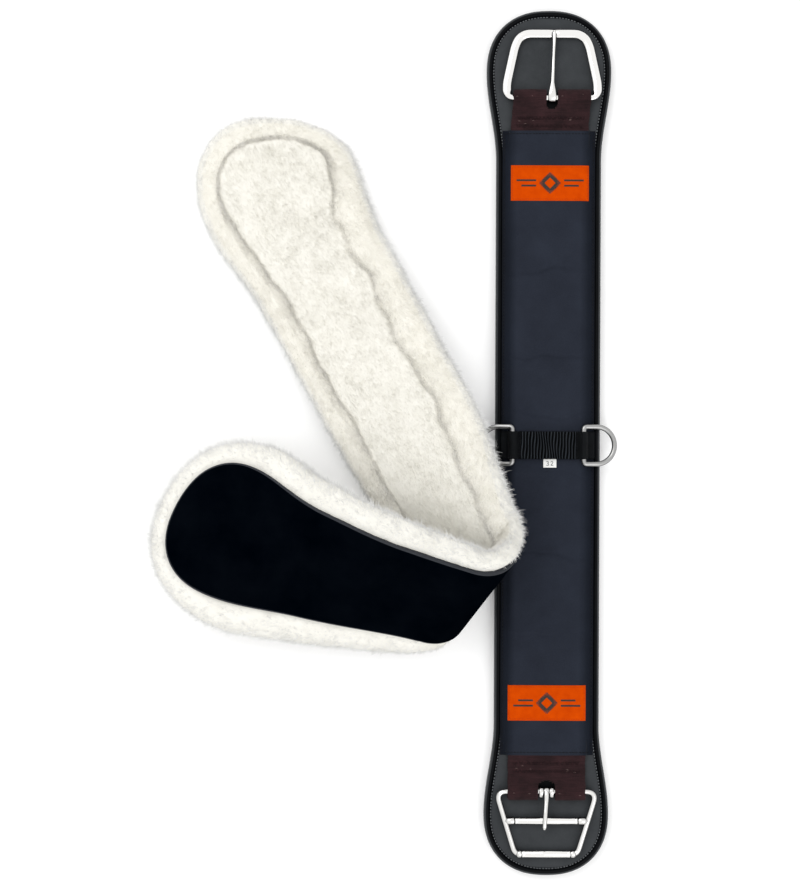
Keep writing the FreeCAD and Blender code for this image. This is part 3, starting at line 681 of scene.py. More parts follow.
def make_binding():
    """The rolled edge: a bead round the rim and a wing inside the ditch, the bead's inner flank and the wing
    near-black as painted shade in the ditch.
    """
    bead = [(6.3, 11.8), (6.0, 12.5), (5.6, 13.1), (5.0, 13.8), (4.2, 14.3), (3.3, 14.5), (2.3, 14.3),
            (1.3, 13.6), (0.6, 12.6), (0.15, 11.2), (0.0, 9.4), (0.0, 5.5), (0.1, 3.2), (0.5, 1.6),
            (1.3, 0.6), (2.6, 0.1), (4.4, 0.0), (5.8, 0.2), (6.4, 0.9)]
    verts = loop_rings(OUT_POINTS, OUT_NORMALS, bead)
    verts[:, 2] += field(verts, 30.0, 2.0) * 0.18 * (verts[:, 2] > 3.0)
    faces = grid_faces(len(bead), len(OUT_POINTS), close_cols=True, flip=True)
    # painted shade: the bead's inner flank takes the near-black wing leatherette, for the shade in the ditch
    shaded_flank = 6 * len(OUT_POINTS)
    slots = [1] * shaded_flank + [0] * (len(faces) - shaded_flank)
    obj = build_mesh("binding_roll", verts, faces, [MAT["binding"], MAT["shaded_wing"]], slots)
    place(obj, "girth", "binding_leatherette", "binding_upper", "binding_right", "binding_left",
          "binding_lower")
    # the wing is a real strip of the binding, painted near-black for the shade in the ditch inside the bead
    shaded_wing = [(9.0, 11.9), (8.4, 12.1), (7.6, 12.15), (6.8, 12.1), (6.0, 12.2), (5.4, 12.0)]
    verts = loop_rings(OUT_POINTS, OUT_NORMALS, shaded_wing)
    verts[:, 2] += field(verts, 16.0, 3.0) * 0.12
    faces = grid_faces(len(shaded_wing), len(OUT_POINTS), close_cols=True, flip=True)
    place(build_mesh("binding_wing_painted_shade", verts, faces, [MAT["shaded_wing"]]), "girth", "binding_leatherette")


def make_cover():
    """The leatherette over the foam, pulled down where it meets the binding."""
    xy, rows, cols = inside_grid(OUT_POINTS, OUT_NORMALS, 7.6, 44, 4.0)
    edge = GIRTH_LENGTH / 2 - np.abs(xy[:, 1])
    inset = np.minimum(half_width(edge) - np.abs(xy[:, 0]), edge)
    z = np.interp(inset, [6.5, 7.6, 8.6, 10.0, 14.0, 24.0], [11.7, 12.25, 12.7, 12.92, 13.02, 13.05])
    z += np.minimum(field(at_height(xy, 0.0), 24.0, 4.0) * 0.22 - 0.05, 0.1)
    obj = build_mesh("cover_shell", np.column_stack([xy, z]), grid_faces(rows, cols), [MAT["cover"]])
    place(obj, "girth", "cover_leatherette", "top_cover")


def make_edge_stitching():
    """The lock stitch in the ditch inside the bead."""
    bundle = Bundle()
    points = at_height(inset_loop(OUT_POINTS, OUT_NORMALS, 6.9), 12.6)
    stitch_row(bundle, np.concatenate([points, points[:1]]), 3.0, 1.6, 0.55, 3)
    place(bundle.build("edge_stitches", [MAT["thread_grey"]]), "girth", "binding_leatherette")


def panel_height(x, y):
    """The fabric over the webbing: a plateau, soft shoulders and a sunken hem."""
    x = np.abs(x)
    end = PANEL_HALF_LENGTH - np.abs(y)
    plateau = PANEL_TOP + 0.25 * np.cos(np.clip(x / 36.0, 0, 1) * math.pi / 2)
    side = np.interp(x, [0, 30.0, 33.5, 35.5, 37.4, 38.8, 40.2, 42.6, 43.8, 44.6, PANEL_HALF_WIDTH],
                     [1.0, 1.0, 0.97, 0.86, 0.58, 0.26, 0.08, 0.02, -0.12, 0.05, -0.3])
    base = COVER_TOP + 1.1
    wide = np.interp(x, [0, 38.3, 39.0, 39.9, 41.0, 42.6], [1.0, 1.0, 0.8, 0.3, 0.06, 0.0])
    near_end = 1 - smooth(8.0, 24.0, end)
    side = side + (np.maximum(side, wide) - side) * near_end
    z = base + (plateau - base) * side
    over_webbing = 1.7 * near_end * np.clip(side * 1.4 - 0.4, 0, 1)
    hem = -0.5 * hump(end, 2.6, 0.9)
    lip = -1.2 * (1 - smooth(0.0, 0.9, end))
    return z + over_webbing + hem + lip


def panel_top(x, y):
    """The panel's height with its slow waves, under whatever is sewn on it."""
    points = np.stack([x, y, np.zeros_like(x)], 1)
    return panel_height(x, y) + field(points, 34.0, 6.0) * 0.28 + field(points, 11.0, 7.0) * 0.1


def crease(x, y, centre, bow, depth, seed):
    """A faint curved fold across the panel: a dip with a low ridge beside it."""
    line = (centre + bow * (1 - (x / 40.0) ** 2)
            + 3.0 * np.sin(x / 13.0 + seed) + 1.2 * np.sin(x / 5.0 + 2 * seed))
    fade = np.clip(1 - np.abs(x) / 41.0, 0, 1) ** 0.4
    dip = 0.55 * hump(y, line + 2.4, 1.8) - hump(y, line, 1.1)
    return depth * dip * fade


def make_panel():
    """The fabric panel with its creases and puckered hems, and a skirt down to the cover."""
    hem = np.linspace(34, 45.5, 15)
    xs = np.concatenate([-hem[::-1], np.linspace(-32.5, 32.5, 44), hem])
    ends = np.array([306.5, 306.1, 305.3, 304.4, 303.8, 303.3, 302.8, 302.2, 301.4, 300.4])
    ys = np.concatenate([-ends, np.linspace(-299, 299, 400), ends[::-1]])
    x, y = spread(xs, ys)
    z = panel_top(x, y)
    for centre, bow, depth, seed in ((165, 4, 1.3, 0.3), (86, -5, 1.3, 1.4), (-32, 3, 0.9, 2.2),
                                     (-115, 6, 1.4, 3.1), (28, -3, 0.7, 4.0), (-190, 4, 0.6, 5.2)):
        z += crease(x, y, centre, bow, depth, seed)
    z += hump(np.abs(x), 43.0, 2.2) * 0.22 * np.sin(y / 2.1 + np.sin(y / 17.0) * 2)
    z += hump(PANEL_HALF_LENGTH - np.abs(y), 5.0, 2.0) * 0.16 * np.sin(x / 1.5)
    top = np.stack([x, y, z], 1)
    rim = grid_rim(len(ys), len(xs))
    skirt = at_height(top[rim, :2], COVER_TOP - 0.5)
    count = len(rim)
    faces = grid_faces(len(ys), len(xs))
    for k, after in zip(range(count), [*range(1, count), 0]):
        faces.append((rim[k], len(top) + k, len(top) + after, rim[after]))
    obj = build_mesh("panel_cloth", np.concatenate([top, skirt]), faces, [MAT["panel"]])
    place(obj, "girth", "panel_fabric", "centre_panel")


def make_panel_stitching():
    """One row of stitches along each of the panel's four hems."""
    bundle = Bundle()
    for side in (-1, 1):
        x = np.linspace(-43.5, 43.5, 90)
        y = np.full_like(x, side * (PANEL_HALF_LENGTH - 3.2))
        stitch_row(bundle, np.stack([x, y, panel_height(x, y) + 0.1], 1), 3.2, 2.3, 0.4, 5)
        y = np.linspace(-303, 303, 500)
        x = np.full_like(y, side * 43.6)
        stitch_row(bundle, np.stack([x, y, panel_height(x, y) + 0.15], 1), 3.4, 2.4, 0.4, 6)
    place(bundle.build("panel_stitches", [MAT["thread_dark"]]), "girth", "panel_fabric")


def webbing_shift(side, y):
    """How far the upper webbing has drifted to the right of the girth's middle."""
    drift = HEM_SHIFT + (TOP_SHIFT - HEM_SHIFT) * smooth(303.0, 340.0, np.abs(y))
    return drift * (side > 0)


def webbing_path(fold_y, bar_y):
    """Middle line of the webbing in (y, z), from the hidden tail over the bar and back under."""
    half = 1.1
    inner = 3.1 + half
    turn = fold_y - 5.3
    tail = 303.8
    meet = fold_y - 26.0
    over = [(tail, WEB_TOP + half), (meet - 6, WEB_TOP + half), (meet, WEB_TOP + half + 0.2),
            (meet + 6.5, WEB_TOP + half + 1.9), (bar_y - 5.5, BAR_Z + inner - 1.0),
            (bar_y - 1.0, BAR_Z + inner)]
    arc = [(turn + inner * math.cos(a), BAR_Z + inner * math.sin(a))
           for a in np.linspace(math.pi / 2, -math.pi / 2, 9)]
    back = [(y, COVER_TOP + half) for y in (turn - 12.0, turn - 24.0, tail)]
    knots = np.array(over + arc + back)
    where = distances(knots)
    s = np.arange(0, where[-1], 0.42)
    return s, blur(walk(knots, where, s), 6)


def webbing_columns(slot):
    """Where the webbing's columns lie across it: fine at its edges and beside the slot."""
    right = np.concatenate([[slot, slot + 0.4], np.linspace(slot + 1.0, 35.5, 28), [36.8, 37.6, WEB_HALF]])
    return np.sort(np.concatenate([-right[::-1], np.linspace(-slot + 0.6, slot - 0.6, 7), right]))


def slotted_faces(keep, rows, cols):
    """Faces of a slab without the cells that keep leaves out, closed round its rim and its slot."""
    count = rows * cols
    faces = []
    for i, j in zip(*np.nonzero(keep)):
        a, b, c, d = i * cols + j, i * cols + j + 1, (i + 1) * cols + j + 1, (i + 1) * cols + j
        faces.append((a, b, c, d))
        faces.append((a + count, d + count, c + count, b + count))
        for p, q, row, col in ((a, b, i - 1, j), (b, c, i, j + 1), (c, d, i + 1, j), (d, a, i, j - 1)):
            if not (0 <= row < rows - 1 and 0 <= col < cols - 1 and keep[row, col]):
                faces.append((p, p + count, q + count, q))
    return faces


def make_bartacks(name, side, fold_y):
    """Zigzag rows that hold the folded webbing to itself, and a few worn threads."""
    bundle = Bundle()
    rng = np.random.default_rng(11)
    for line_y, amount in ((fold_y - 28.0, 40), (fold_y - 36.0, 26)):
        for i in range(amount):
            x = -33 + 66 * (i + 0.5) / amount + rng.normal(0, 0.4)
            y = side * (line_y + rng.normal(0, 0.3))
            slant = 0.8 if i % 2 else -0.8
            z = WEB_TOP + 2.4
            run = np.array([[x - slant, y - 1.5, z], [x, y, z + 0.5], [x + slant, y + 1.5, z]])
            run[:, 0] += webbing_shift(side, y)
            bundle.add(*thread(run, 0.36), 0)
    for i in range(26):
        x = rng.uniform(-34, 34)
        y = side * (fold_y - rng.uniform(2.0, 38.0))
        if abs(x) < 10.0:
            continue
        z = BAR_Z + 5.5 if abs(y) > fold_y - 12.0 else WEB_TOP + 2.5
        run = [[x - 1.2, y, z - 0.1], [x, y + 0.1, z + 0.05], [x + 1.2, y, z - 0.1]]
        bundle.add(*thread(run, 0.16), 1)
    obj = bundle.build(name + "_bartacks", [MAT["thread_brown"], MAT["thread_worn"]])
    place(obj, "girth", "load_webbing")


def make_webbing(name, side, fold_y, bar_y, slot, *replaced):
    """One visible end, with raised ribs across the webbing and a slot for the tongue."""
    s, run = webbing_path(fold_y, bar_y)
    along = unit(np.gradient(run, axis=0))
    normal = np.stack([-along[:, 1], along[:, 0]], 1)
    xs = webbing_columns(slot)
    thick = np.interp(np.abs(xs), [0, 36.4, 37.4, WEB_HALF], [1.1, 1.1, 0.9, 0.45])
    rib = 0.19 * np.sin(2 * math.pi * s / 1.28)
    wave = np.array([noise.noise(Vector((x / 14.0, side * 3.0, 0.5))) for x in xs]) * 0.35
    layers = []
    for face in (1, -1):
        off = face * (thick[None, :] + rib[:, None]) + wave[None, :] * smooth(8, 30, s)[:, None]
        y, z = [run[:, k][:, None] + normal[:, k][:, None] * off for k in range(2)]
        fray = 0.25 * np.sin(s / 2.3)[:, None] * (np.abs(xs) > 36)[None, :]
        across = np.broadcast_to(xs, y.shape) + fray + webbing_shift(side, y)
        layers.append(np.stack([across, side * y, z], 2).reshape(-1, 3))
    round_end = np.sqrt(np.clip(1 - ((run[:, 0] - (fold_y - 14.0)) / 5.5) ** 2, 0, 1)) * slot
    reach = np.where(run[:, 0] > fold_y - 14.0, slot, round_end)
    middle = 0.5 * (xs[1:] + xs[:-1])
    keep = np.abs(middle)[None, :] >= reach[:-1, None]
    obj = build_mesh(name, np.concatenate(layers), slotted_faces(keep, len(run), len(xs)), [MAT["webbing"]])
    place(obj, "girth", "load_webbing", *replaced)
    # painted shade: a near-black sheet under the tongue's slot, standing in for the shade on the webbing seen
    # through it
    x, y = spread(np.linspace(-slot - 1.5, slot + 1.5, 6), side * np.linspace(fold_y - 22.0, fold_y - 6.5, 8))
    slot_shade = at_height(np.stack([x + webbing_shift(side, y), y], 1), COVER_TOP + 0.4)
    obj = build_mesh(name + "_slot_painted_shade", slot_shade, grid_faces(8, 6, flip=side < 0), [MAT["shaded_wing"]])
    place(obj, "girth", "load_webbing")
    make_bartacks(name, side, fold_y)


def hemmed(half, count):
    """Places across a sewn patch from -half to half, fine at its hems."""
    inner = half - 1.2
    return np.concatenate([[-half, -half + 0.35], np.linspace(-inner, inner, count), [half - 0.35, half]])


def make_motif(bundle, cx, cy, side):
    """Satin-stitched lozenge ring with two short stripes on each side."""
    def laid(xy, radius, flat, arch):
        xy = np.asarray(xy, float) * [1.0, side] + [cx, cy]
        z = panel_top(xy[:, 0], xy[:, 1]) + 0.9 + arch
        bundle.add(*sweep(np.column_stack([xy, z]), circle_section(radius, 6, flat)), 1)

    for i in range(44):
        a = 2 * math.pi * (i + 0.5) / 44
        way = np.array([math.cos(a), math.sin(a)]) / (abs(math.cos(a)) + abs(math.sin(a)))
        t = np.linspace(0, 1, 5)
        laid(way * (5.6 + 5.4 * t)[:, None], 0.42, 0.5, 0.16 * np.sin(math.pi * t))
    for direction in (-1, 1):
        for row, start, end in ((2.6, 14.0, 33.0), (-2.6, 14.0, 28.0)):
            for x in np.arange(start, end, 0.6) * direction:
                laid([[x, row - 0.9], [x + 0.1, row], [x + 0.2, row + 0.9]], 0.3, 0.6,
                     np.array([-0.1, 0.05, -0.1]))


def make_label(side, node):
    """An orange woven patch with a plain lozenge and stripes, sewn down all round."""
    half_w, half_h = LABEL_SIZE[0] / 2, LABEL_SIZE[1] / 2
    cx = 0.5 + 0.5 * side
    cy = side * LABEL_Y
    xs, ys = hemmed(half_w, 60), hemmed(half_h, 28)
    x, y = spread(xs, ys)
    edge = np.minimum(half_w - np.abs(x), half_h - np.abs(y))
    lift = 0.75 * np.clip(edge / 0.5, 0, 1) ** 0.5 - 0.28 * hump(edge, LABEL_SEAM, 0.7)
    top = np.stack([x + cx, y + cy, panel_top(x + cx, y + cy) + 0.1 + lift], 1)
    obj = build_mesh(node + "_cloth", top, grid_faces(len(ys), len(xs)), [MAT["label"]])
    place(obj, "girth", "label_weave", node)
    bundle = Bundle()
    seam = np.array([half_w - LABEL_SEAM, half_h - LABEL_SEAM])
    corners = seam * [[-1, -1], [1, -1], [1, 1], [-1, 1], [-1, -1]]
    for a, b in zip(corners[:-1], corners[1:]):
        xy = a + (b - a) * np.linspace(0, 1, 40)[:, None] + [cx, cy]
        z = panel_top(xy[:, 0], xy[:, 1]) + 0.7
        stitch_row(bundle, np.column_stack([xy, z]), 2.4, 1.8, 0.28, 8)
    make_motif(bundle, cx, cy, side)
    obj = bundle.build(node + "_threads", [MAT["thread_orange"], MAT["motif"]])
    place(obj, "girth", "label_weave")


# =====================================================================
# the ring strap
# =====================================================================

def strap_height(x, y):
    """Top of the upper strap layer: gathered ribs in the middle, humps over the ring bars."""
    ax = np.abs(x)
    hump = RING_Z + 4.3 - STRAP_TOP
    shape = np.where(ax < RING_BAR_X, smooth(28.5, 34.0, ax) * hump,
                     hump * np.sqrt(np.clip(1 - ((ax - RING_BAR_X) / 4.4) ** 2, 0, 1)))
    middle = 2.0 * (1 - smooth(27.0, 29.0, ax)) + 0.2
    drift = 0.7 * np.sin(y / 9.0 + x / 6.0) + 0.4 * np.sin(y / 4.1 + x / 3.0)
    ribs = 1.3 * np.sin(2 * math.pi * (x + drift) / 2.85)
    ribs += 0.25 * np.sin(2 * math.pi * (x + 0.6 * drift) / 1.3)
    ribs *= 1 - smooth(26.5, 28.0, ax)
    return STRAP_TOP + np.maximum(shape, middle + ribs)


def make_ring_strap():
    """The upper layer, its two sewn rows and a closed lower face."""
    fold = np.linspace(33, 39.4, 22)
    xs = np.concatenate([-fold[::-1], np.linspace(-32.5, 32.5, 220), fold])
    ys = np.concatenate([[-STRAP_HALF, -13.3], np.linspace(-12.8, 12.8, 36), [13.3, STRAP_HALF]])
    x, y = spread(xs, ys)
    rounding = np.clip((STRAP_HALF - np.abs(y)) / 0.8, 0, 1) ** 0.5
    z = strap_height(x, y) - (1 - rounding) * 0.8
    under = np.where(np.abs(x) > 30.0, np.maximum(z - 1.5, STRAP_TOP - 0.1), STRAP_TOP - 0.2)
    verts = np.concatenate([np.stack([x, y + RING_Y, height], 1) for height in (z, under)])
    faces = slab_faces(len(ys), len(xs))
    smooth_ends = [int(abs(verts[f[0], 0]) > 27.5) for f in faces]
    obj = build_mesh("ring_strap_weave", verts, faces, [MAT["gathered"], MAT["strap"]], smooth_ends)
    place(obj, "girth", "ring_strap", "ring_strap")
    bundle = Bundle()
    for side in (-1, 1):
        for off in (27.3, 29.0):
            y = np.linspace(-12.5, 12.5, 30)
            x = np.full_like(y, side * off)
            line = np.stack([x, y + RING_Y, strap_height(x, y) + 0.15], 1)
            stitch_row(bundle, line, 2.6, 2.0, 0.35, 9)
    place(bundle.build("ring_strap_stitches", [MAT["thread_dark"]]), "girth", "ring_strap")


def make_strap_base():
    """The lower layer, flat on the panel."""
    xs = np.linspace(-46.0, 46.0, 140)
    ys = np.concatenate([[-13.6, -13.4], np.linspace(-12.6, 12.6, 24), [13.4, 13.6]])
    x, y = spread(xs, ys)
    z = panel_height(x, y + RING_Y) + 1.35
    z -= (1 - np.clip((13.6 - np.abs(y)) / 0.6, 0, 1) ** 0.5) * 1.2
    z += 0.06 * np.sin(2 * math.pi * x / 1.5)
    top = np.stack([x, y + RING_Y, z], 1)
    obj = build_mesh("ring_strap_underlay", top, grid_faces(len(ys), len(xs)), [MAT["strap"]])
    place(obj, "girth", "ring_strap", "ring_strap_base")


def tag_point(x, y):
    """A point of the tag's upper face; x and y are measured from the middle of its top edge."""
    px = x + 2.0
    py = y + RING_Y - STRAP_HALF
    z = panel_height(px, py) + 0.75 + 0.25 * np.sin((x + 3) / 4.0) - 0.05 * y
    return np.column_stack([px, py, z])


def make_size_tag():
    """A white tag under the strap's edge, with a plain size number sewn on it."""
    width, height = 12.8, 8.4
    xs = np.linspace(-width / 2, width / 2, 20)
    ys = np.linspace(-height, 1.0, 14)
    top = tag_point(*spread(xs, ys))
    verts = np.concatenate([top, top - [0, 0, 0.35]])
    obj = build_mesh("size_tag_cloth", verts, slab_faces(len(ys), len(xs)), [MAT["tag"]])
    place(obj, "girth", "size_tag", "size_tag")
    three = [(-3.4, -2.6), (-1.4, -2.4), (-1.2, -3.6), (-2.4, -4.2), (-1.1, -4.9), (-1.3, -6.2), (-3.5, -6.0)]
    two = [(0.9, -3.2), (1.6, -2.4), (2.9, -2.6), (3.0, -3.7), (0.9, -6.1), (3.3, -6.1)]
    bundle = Bundle()
    for stroke in (three, two):
        line = rounded(at_height(stroke, 0.0), 0.3, 2)
        points = tag_point(line[:, 0], line[:, 1]) + [0, 0, 0.08]
        bundle.add(*sweep(points, circle_section(0.3, 6, 0.6)))
    place(bundle.build("size_tag_number", [MAT["thread_grey"]]), "girth", "size_tag")


# =====================================================================
# the buckles
# =====================================================================

def tilted(points, bar_y, degrees):
    """Points drawn level at the height of a base bar, turned down about it."""
    a = math.radians(degrees)
    out = np.array(points, float)
    y = out[:, 1] - bar_y
    z = out[:, 2] - BAR_Z
    out[:, 1] = bar_y + y * math.cos(a) - z * math.sin(a)
    out[:, 2] = BAR_Z + y * math.sin(a) + z * math.cos(a)
    return out


def mirrored_loop(half):
    """A closed plan outline at bar height from its right half, which starts on the base bar."""
    half = np.array(half, float)
    loop = np.concatenate([[[0.0, half[0, 1]]], half, (half * [-1, 1])[::-1], [[0.0, half[0, 1]]]])
    return np.column_stack([loop, np.full(len(loop), BAR_Z)])


def lathe_x(profile, centre, count=28):
    """A shape turned about a line along X; profile is (x, radius) pairs."""
    a = np.linspace(0, 2 * math.pi, count, endpoint=False)
    rings = [np.column_stack([np.full(count, x), r * np.cos(a), r * np.sin(a)]) for x, r in profile]
    verts = np.concatenate(rings) + centre
    faces = grid_faces(len(profile), count, close_cols=True)
    faces.append(tuple(range(count))[::-1])
    faces.append(tuple(range((len(profile) - 1) * count, len(profile) * count)))
    return verts, faces


def make_top_frame():
    """Flat-sided bow that narrows into the round base bar."""
    path = mirrored_loop([(40.0, TOP_BAR_Y), (43.4, 339.4), (44.5, 345.0), (44.2, 353.0), (36.6, 388.5),
                          (32.8, 397.0), (25.5, 401.4)])
    run = rounded(path, 1.1, 14)[:-1]
    bow = smooth(338.6, 346.0, run[:, 1])
    widths = np.column_stack([2.8 + 1.6 * bow, 2.8 + 0.1 * bow])
    tongue_rest = 0.9 * hump(run[:, 0], 2.0, 2.6) * (run[:, 1] > 395.0)
    run[:, 2] -= tongue_rest
    run[:, 0] += TOP_SHIFT
    section = squared_section(20, 0.75, 0.85)
    verts, faces = sweep(tilted(run, TOP_BAR_Y, -TOP_TILT), section, closed=True, scale=widths)
    place(build_mesh("buckle_bow", verts, faces, [MAT["nickel"]]), "top_frame", "buckle_nickel",
          "top_buckle_frame")


def make_tongue(body, node, bar_y, shift, coils, reach, spine, widths):
    """A tongue: coils turned on the bar, longer on the tip's side, and a shank swept along spine.

    coils holds the (start, end) of each coil along the bar, reach its stretch away from the webbing."""
    side = 1 if bar_y > 0 else -1
    bundle = Bundle()
    for start, end in coils:
        xs = np.linspace(start, end, 17)
        across = np.abs(2 * (xs - start) / (end - start) - 1)
        radius = 4.6 - 1.3 * (1 - np.sqrt(1 - 0.98 * across ** 4))
        verts, faces = lathe_x(list(zip(xs, radius)), [0.0, 0.0, BAR_Z])
        verts[verts[:, 1] * side > 0, 1] *= reach
        bundle.add(verts + [shift, bar_y, 0.0], faces)
    run = rounded(np.array(spine) * [1, side, 1] + [0, bar_y, BAR_Z], 0.9, 10)
    t = np.linspace(0, 1, len(run))
    knots, wide, tall = np.array(widths).T
    scale = np.column_stack([np.interp(t, knots, wide), np.interp(t, knots, tall)])
    ends = np.clip(np.minimum(t, 1 - t) * len(run) / 2.6 + 0.25, 0, 1) ** 0.5
    verts, faces = sweep(run, squared_section(18, 0.8), scale=scale * ends[:, None])
    bundle.add(verts + [shift, 0.0, 0.0], faces)
    place(bundle.build(node + "_steel", [MAT["wire"]]), body, "buckle_nickel", node)


def low_bar(y):
    """The middle of one of the lower frame's bars."""
    return tilted([[0.0, y, BAR_Z]], LOW_BAR_Y, LOW_TILT)[0]


def make_low_frame():
    """Round wire bent to a tapered frame, with a middle bar and collars beside the rollers."""
    bundle = Bundle()
    path = mirrored_loop([(38.0, LOW_BAR_Y), (43.6, -341.9), (46.8, -344.2), (47.2, -348.6),
                          (40.6, MID_BAR_Y), (31.2, -401.0), (28.5, END_BAR_Y)])
    run = rounded(path, 1.1, 10)[:-1]
    bundle.add(*sweep(tilted(run, LOW_BAR_Y, LOW_TILT), circle_section(2.8, 18), closed=True))
    for y, ends in ((MID_BAR_Y, (31.2, 32.0, 37.0, 40.3)), (END_BAR_Y, (24.1, 24.7, 27.6, 29.2))):
        bundle.add(*lathe_x([(-ends[3], 2.7), (ends[3], 2.7)], low_bar(y)))
        for way in (-1, 1):
            collar = [(way * ends[0], 2.9), (way * (ends[0] + 0.1), 3.7), (way * ends[1], 4.1),
                      (way * ends[2], 3.9), (way * ends[3], 2.8)]
            bundle.add(*lathe_x(collar[::way], low_bar(y)))
    obj = bundle.build("buckle_wire_frame", [MAT["wire"]])
    place(obj, "bottom_frame", "buckle_nickel", "bottom_buckle_frame")


def make_roller(node, y, half):
    """A tube with a groove near each end."""
    end = [(half, 3.0), (half, 3.4), (half - 0.3, 3.8), (half - 2.2, 3.8), (half - 2.45, 3.55),
           (half - 2.7, 3.8), (0.6, 3.8)]
    verts, faces = lathe_x([(-x, r) for x, r in end] + end[::-1], low_bar(y))
    place(build_mesh(node + "_tube", verts, faces, [MAT["nickel"]]), node, "buckle_nickel", node)


def make_buckles():
    make_top_frame()
    make_tongue("top_tongue", "top_buckle_tongue", TOP_BAR_Y, TOP_SHIFT, [(-4.0, 4.0)], 1.0,
                [(0, -3.4, 2.0), (0, -2.2, 3.5), (0, 0.5, 4.4), (0, 4.0, 4.6), (0, 9.0, 3.6),
                 (0.4, 20.0, 2.6), (1.4, 48.0, 1.8), (2.0, 66.0, 2.2)],
                [(0, 3.8, 0.8), (0.08, 4.0, 1.0), (0.16, 3.4, 1.7), (0.28, 1.9, 2.0), (0.7, 1.6, 2.0),
                 (1, 2.0, 1.9)])
    make_low_frame()
    make_tongue("bottom_tongue", "bottom_buckle_tongue", LOW_BAR_Y, 0.0,
                [(-7.4, -2.9), (-2.6, 2.6), (2.9, 7.4)], 1.45,
                [(0, -2.4, 2.9), (0, 0.5, 4.3), (0, 4.0, 4.5), (-0.3, 10.0, 4.9), (-1.2, 21.0, 7.9),
                 (-2.0, 31.0, 8.7), (-2.2, 36.2, 7.9)],
                [(0, 2.0, 1.0), (0.15, 2.4, 1.6), (0.4, 2.3, 2.2), (1, 2.1, 2.0)])
    make_roller("mid_roller", MID_BAR_Y, 30.6)
    make_roller("end_roller", END_BAR_Y, 23.6)


# =====================================================================
# the liner
# =====================================================================

def lean(s):
    """How far the far run leans at s, in radians."""
    more = (LEAN_FOLD - LEAN_MID) * smooth(318.0, 443.0, s)
    return np.radians(LEAN_MID * smooth(60.0, 330.0, s) + more)


def far_line():
    """Plan position and heading of the far run at every STEP."""
    x, y = LINER_TIP
    run = []
    for i in range(int(FOLD_AT / STEP) + 60):
        share = smooth(*FAR_TURN, i * STEP)
        heading = math.radians(FAR_HEADING[0] + (FAR_HEADING[1] - FAR_HEADING[0]) * share)
        run.append((x, y, heading))
        x += STEP * math.cos(heading)
        y += STEP * math.sin(heading)
    return np.array(run)


def far_frame(s):
    """Centres, forward, across and fleece-side directions on the far run (arrays)."""
    s = np.atleast_1d(np.asarray(s, float))
    k = np.clip((s / STEP).astype(int), 0, len(FAR) - 2)
    f = (s / STEP - k)[:, None]
    row = FAR[k] * (1 - f) + FAR[k + 1] * f
    slope = lean(s)
    low_edge = BACK_HALF + 0.3 + (FAR_LIFT - BACK_HALF) * smooth(60.0, 300.0, s)
    heading = row[:, 2]
    forward = np.stack([np.cos(heading), np.sin(heading), np.zeros_like(s)], 1)
    across = np.stack([-np.sin(heading) * np.cos(slope), np.cos(heading) * np.cos(slope), np.sin(slope)], 1)
    centre = np.stack([row[:, 0], row[:, 1], low_edge + MID_HALF_WIDTH * np.sin(slope)], 1)
    return centre, forward, across, np.cross(forward, across)


def turned(a, b, angle):
    """Two perpendicular directions turned in their own plane."""
    c, s = math.cos(angle), math.sin(angle)
    return a * c + b * s, b * c - a * s


def bend(turn, x):
    """What a turn adds in the step at x, in radians."""
    degrees, start, end = turn
    return math.radians(degrees * bell(start, end, x)) * STEP


def near_frames():
    """The near run from the fold on: it twists level, sinks and swings a little."""
    centre, forward, across = NEAR_START
    frames = [(centre, forward, across)]
    for i in range(200):
        x = (i + 0.5) * STEP
        across = turned(across, np.cross(forward, across), bend(NEAR_UNTWIST, x))[0]
        sink = bend(NEAR_DIP, x) + bend(NEAR_LEVEL, x)
        forward = turned(forward, np.cross(forward, across), sink)[0]
        forward, across = turned(forward, across, bend(NEAR_SWING, x))
        centre = centre + forward * STEP
        frames.append((centre, forward, across))
    return [np.array(column) for column in zip(*frames)]


FAR = far_line()
F_CENTRE, F_FORWARD, F_ACROSS, F_UP = [v[0] for v in far_frame(FOLD_AT)]
F_AXIS = F_ACROSS * math.cos(FOLD_SKEW) - F_FORWARD * math.sin(FOLD_SKEW)
F_AHEAD = F_FORWARD * math.cos(FOLD_SKEW) + F_ACROSS * math.sin(FOLD_SKEW)
LEAVING = F_AHEAD * math.cos(FOLD_TURN) + F_UP * math.sin(FOLD_TURN)
F_LIFT = F_AHEAD * math.sin(FOLD_TURN) + F_UP * (1 - math.cos(FOLD_TURN))
NEAR_START = (F_CENTRE + F_LIFT * FOLD_RADIUS - F_AXIS * (FOLD_END - FOLD_AT) * math.sin(FOLD_SKEW),
              LEAVING * math.cos(FOLD_SKEW) - F_AXIS * math.sin(FOLD_SKEW),
              F_AXIS * math.cos(FOLD_SKEW) + LEAVING * math.sin(FOLD_SKEW))
NEAR = near_frames()


